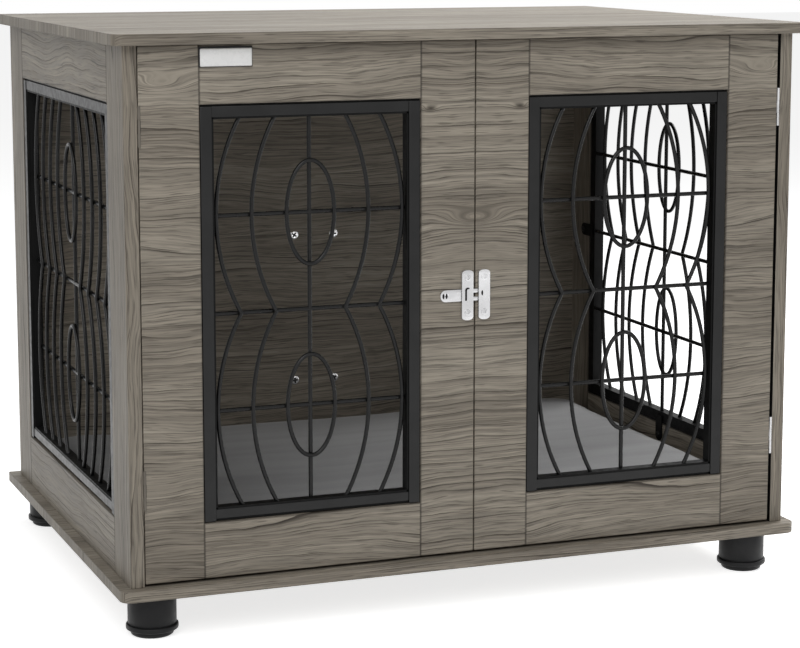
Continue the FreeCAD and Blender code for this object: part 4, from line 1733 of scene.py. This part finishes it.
@dataclass
class Cushion:
    """The floor cushion, a boxed pad blown up from a slightly smaller form."""

    node: str = "cushion"
    voxel: float = 6 * MM
    clear: float = 4 * MM
    room: float = 1.5 * MM
    headroom: float = 6 * MM
    crown: float = 1 * MM
    corner: float = 26 * MM
    corner_steps: int = 8
    ease: float = 7 * MM
    ease_steps: int = 3
    pull: float = 3 * MM
    pressure: float = 4.0
    frames: int = 20
    reach: float = 6 * MM
    seam_drop: float = 9 * MM
    seam_half: float = 3.2 * MM
    seam_depth: float = 1.6 * MM
    seam_from: Flat = (0.95, 0.94)
    dent: float = 1.4 * MM
    sag: float = 1.2 * MM
    long_dents: tuple[Flat, Flat] = ((9.0, 2.1), (17.0, 0.6))
    short_dents: Point = (21.0, -13.0, 0.6)
    pull_power: int = 4
    crown_power: int = 8

    def build(self) -> None:
        """Make the cushion and let it ride on the cabinet."""
        piece = self.form()
        self.swell(piece)
        self.settle_down(piece)
        self.soften(piece)
        settle(piece, CABINET, "grey_fabric", self.node)

    def form(self) -> Piece:
        """An even mesh of the unfilled pad, a little smaller than its room.

        Returns:
            The piece.
        """
        low, high = corners(self.node)
        wide, deep = high.x - self.clear - self.corner, high.y - self.clear - self.corner
        flat = []
        for number, (across, along) in enumerate(((1, 1), (-1, 1), (-1, -1), (1, -1))):
            start = math.pi / 2 * number
            centre = (across * wide, along * deep)
            flat += arc(centre, self.corner, start, start + math.pi / 2, self.corner_steps)
        outline = [Vector((x, y, low.z)) for x, y in flat]
        rise = Vector((0, 0, high.z - self.crown - low.z))
        mesh = prism(outline, rise, self.ease, self.ease_steps)
        piece = new_piece("floor_cushion", mesh, GREY_CLOTH)
        remesh = piece.modifiers.new("even", "REMESH")
        remesh.mode = "VOXEL"
        remesh.voxel_size = self.voxel
        self.apply(piece)
        return piece

    def apply(self, piece: Piece) -> None:
        """Turn a piece's modifiers into its mesh.

        Args:
            piece: The cushion.
        """
        mesh = evaluated(piece)
        piece.modifiers.clear()
        piece.data = mesh
        mesh.materials.clear()
        mesh.materials.append(GREY_CLOTH.material())

    def swell(self, piece: Piece) -> None:
        """Blow the cushion up, each point no further than its reach.

        Args:
            piece: The cushion.
        """
        rest = [vertex.co.copy() for vertex in piece.data.vertices]
        cloth = piece.modifiers.new("stuffing", "CLOTH")
        cloth.settings.use_pressure = True
        cloth.settings.uniform_pressure_force = self.pressure
        cloth.settings.effector_weights.gravity = 0
        cloth.point_cache.frame_start = 1
        cloth.point_cache.frame_end = self.frames
        scene = bpy.context.scene
        for number in range(1, self.frames + 1):
            scene.frame_set(number)
        graph = bpy.context.evaluated_depsgraph_get()
        blown = [vertex.co.copy() for vertex in piece.evaluated_get(graph).data.vertices]
        piece.modifiers.clear()
        scene.frame_set(1)
        for vertex, old, new in zip(piece.data.vertices, rest, blown):
            move = new - old
            if move.length > self.reach:
                move *= self.reach / move.length
            vertex.co = old + move

    def dents(self, x: float, y: float) -> float:
        """The long and short waves that use leaves in the top.

        Args:
            x: How far to the right.
            y: How far to the back.

        Returns:
            The height of the waves, as a share of the dent.
        """
        (often_x, late_x), (often_y, late_y) = self.long_dents
        slant_x, slant_y, share = self.short_dents
        waves = math.sin(often_x * x + late_x) * math.sin(often_y * y + late_y)
        return waves + share * math.sin(slant_x * x + slant_y * y)

    def settle_down(self, piece: Piece) -> None:
        """Lay the cushion in its room, pull its sides in, sew its seam and dent its top.

        Args:
            piece: The cushion.
        """
        low, high = corners(self.node)
        seam = high.z - self.crown - self.seam_drop
        for vertex in piece.data.vertices:
            co = vertex.co
            side = (co.x / high.x, co.y / high.y)
            for axis in (0, 1):
                bay = max(0.0, 1 - side[1 - axis] ** 2)
                pull = self.pull * abs(side[axis]) ** self.pull_power * bay
                co[axis] -= math.copysign(pull, co[axis])
            sewn = max(0.0, 1 - abs(co.z - seam) / self.seam_half) * self.seam_depth
            for axis in (0, 1):
                if abs(side[axis]) > self.seam_from[axis]:
                    co[axis] -= math.copysign(sewn, co[axis])
            lift = max(0.0, (co.z - low.z) / (high.z - low.z))
            inside = math.prod(max(0.0, 1 - share ** self.crown_power) for share in side)
            co.z += lift * inside * (self.dent * self.dents(co.x, co.y) - self.sag)
            co.x = min(max(co.x, low.x + self.room), high.x - self.room)
            co.y = min(max(co.y, low.y), high.y)
            co.z = min(max(co.z, low.z), high.z + self.headroom)

    def soften(self, piece: Piece) -> None:
        """Smooth the cushion once and shade it smooth.

        Args:
            piece: The cushion.
        """
        smooth = piece.modifiers.new("soft", "SUBSURF")
        smooth.levels = smooth.render_levels = 1
        self.apply(piece)
        piece.data.shade_smooth()


@dataclass(frozen=True)
class Lamp:
    """A soft square lamp: its name, place, side and power in watts."""

    name: str
    place: Point
    size: float
    power: float

    def hang(self, target: Point) -> None:
        """Hang the lamp so that it faces a target.

        Args:
            target: The point that it faces.
        """
        light = bpy.data.lights.new(self.name, "AREA")
        light.size = self.size
        light.energy = self.power
        lamp = bpy.data.objects.new(self.name, light)
        bpy.context.scene.collection.objects.link(lamp)
        lamp.location = self.place
        way = Vector(target) - Vector(self.place)
        lamp.rotation_euler = way.to_track_quat("-Z", "Y").to_euler()


@dataclass
class Studio:
    """A pale floor, soft light and the camera of the photograph."""

    location: Point = (-0.9625, -2.5453, 0.7456)
    yaw: float = math.radians(21.102)
    pitch: float = math.radians(8.270)
    lens: float = 103.52
    sensor: float = 36.0
    shift: float = -0.08
    clip: float = 0.05
    sky: float = 0.17
    floor_tone: Colour = (0.9, 0.9, 0.9, 1.0)
    floor_rough: float = 0.9
    floor_glow: float = 0.74
    floor_size: float = 30.0
    white: Colour = (1.0, 1.0, 1.0, 1.0)
    target: Point = (0.0, 0.0, 0.3)
    lamps: tuple[Lamp, ...] = (Lamp("key_light", (-1.4, -2.4, 2.3), 2.0, 46.0),
                               Lamp("side_light", (2.0, 0.3, 2.2), 1.4, 65.0))

    def build(self) -> None:
        """Set the stage."""
        bpy.context.scene.view_settings.view_transform = "Standard"
        self.world()
        self.floor()
        for lamp in self.lamps:
            lamp.hang(self.target)
        self.camera()

    def world(self) -> None:
        """White behind the crate, and a softer sky to light it."""
        world = bpy.data.worlds.new("studio_sky")
        bpy.context.scene.world = world
        world.use_nodes = True
        net = Net(world.node_tree)
        shader = world.node_tree.nodes["Background"]
        shader.inputs["Color"].default_value = self.white
        feeds = {"Value": self.seen(net), "To Min": self.sky, "To Max": 1.0}
        net.feed(shader.inputs["Strength"], net.add("ShaderNodeMapRange", feeds).outputs[0])

    @staticmethod
    def seen(net: Net) -> Socket:
        """1 where the camera sees a surface, straight, mirrored or through glass.

        Args:
            net: The net to build in.

        Returns:
            The socket that holds it.
        """
        path = net.add("ShaderNodeLightPath").outputs
        seen = net.math("MAXIMUM", path["Is Camera Ray"], path["Is Glossy Ray"])
        return net.math("MAXIMUM", seen, path["Is Transmission Ray"])

    def floor(self) -> None:
        """A wide pale floor that keeps the crate's shadow."""
        half = self.floor_size / 2
        mesh = bpy.data.meshes.new("studio_floor")
        outline = [(x, y, 0) for x, y in box_outline((-half, -half), (half, half))]
        mesh.from_pydata(outline, [], [(0, 1, 2, 3)])
        floor = new_piece("studio_floor", mesh)
        material = bpy.data.materials.new("pale_floor")
        material.use_nodes = True
        shader = material.node_tree.nodes["Principled BSDF"]
        shader.inputs["Base Color"].default_value = self.floor_tone
        shader.inputs["Roughness"].default_value = self.floor_rough
        shader.inputs["Specular IOR Level"].default_value = 0.0
        shader.inputs["Emission Color"].default_value = self.white
        net = Net(material.node_tree)
        net.feed(shader.inputs["Emission Strength"], net.times(self.seen(net), self.floor_glow))
        mesh.materials.append(material)

    def camera(self) -> None:
        """Set the camera at the photograph's angle."""
        data = bpy.data.cameras.new("photo_camera")
        data.sensor_fit = "HORIZONTAL"
        data.sensor_width = self.sensor
        data.lens = self.lens
        data.shift_y = self.shift
        data.clip_start = self.clip
        camera = bpy.data.objects.new("photo_camera", data)
        bpy.context.scene.collection.objects.link(camera)
        level = math.cos(self.pitch)
        forward = Vector((math.sin(self.yaw) * level, math.cos(self.yaw) * level,
                          -math.sin(self.pitch)))
        right = Vector((math.cos(self.yaw), -math.sin(self.yaw), 0))
        turn = Matrix((right, right.cross(forward), -forward)).transposed().to_4x4()
        camera.matrix_world = Matrix.Translation(self.location) @ turn
        bpy.context.scene.camera = camera


def main() -> None:
    """Build the crate's looks in order."""
    logging.basicConfig(level=logging.INFO, format="%(name)s: %(message)s")
    Studio().build()
    Boards().build()
    Grilles().build()
    for corner in ("front_left", "front_right", "rear_left", "rear_right"):
        Foot(corner).build()
    Latch().build()
    Hinges().build()
    Trim().build()
    Cushion().build()


if __name__ == "__main__":
    main()
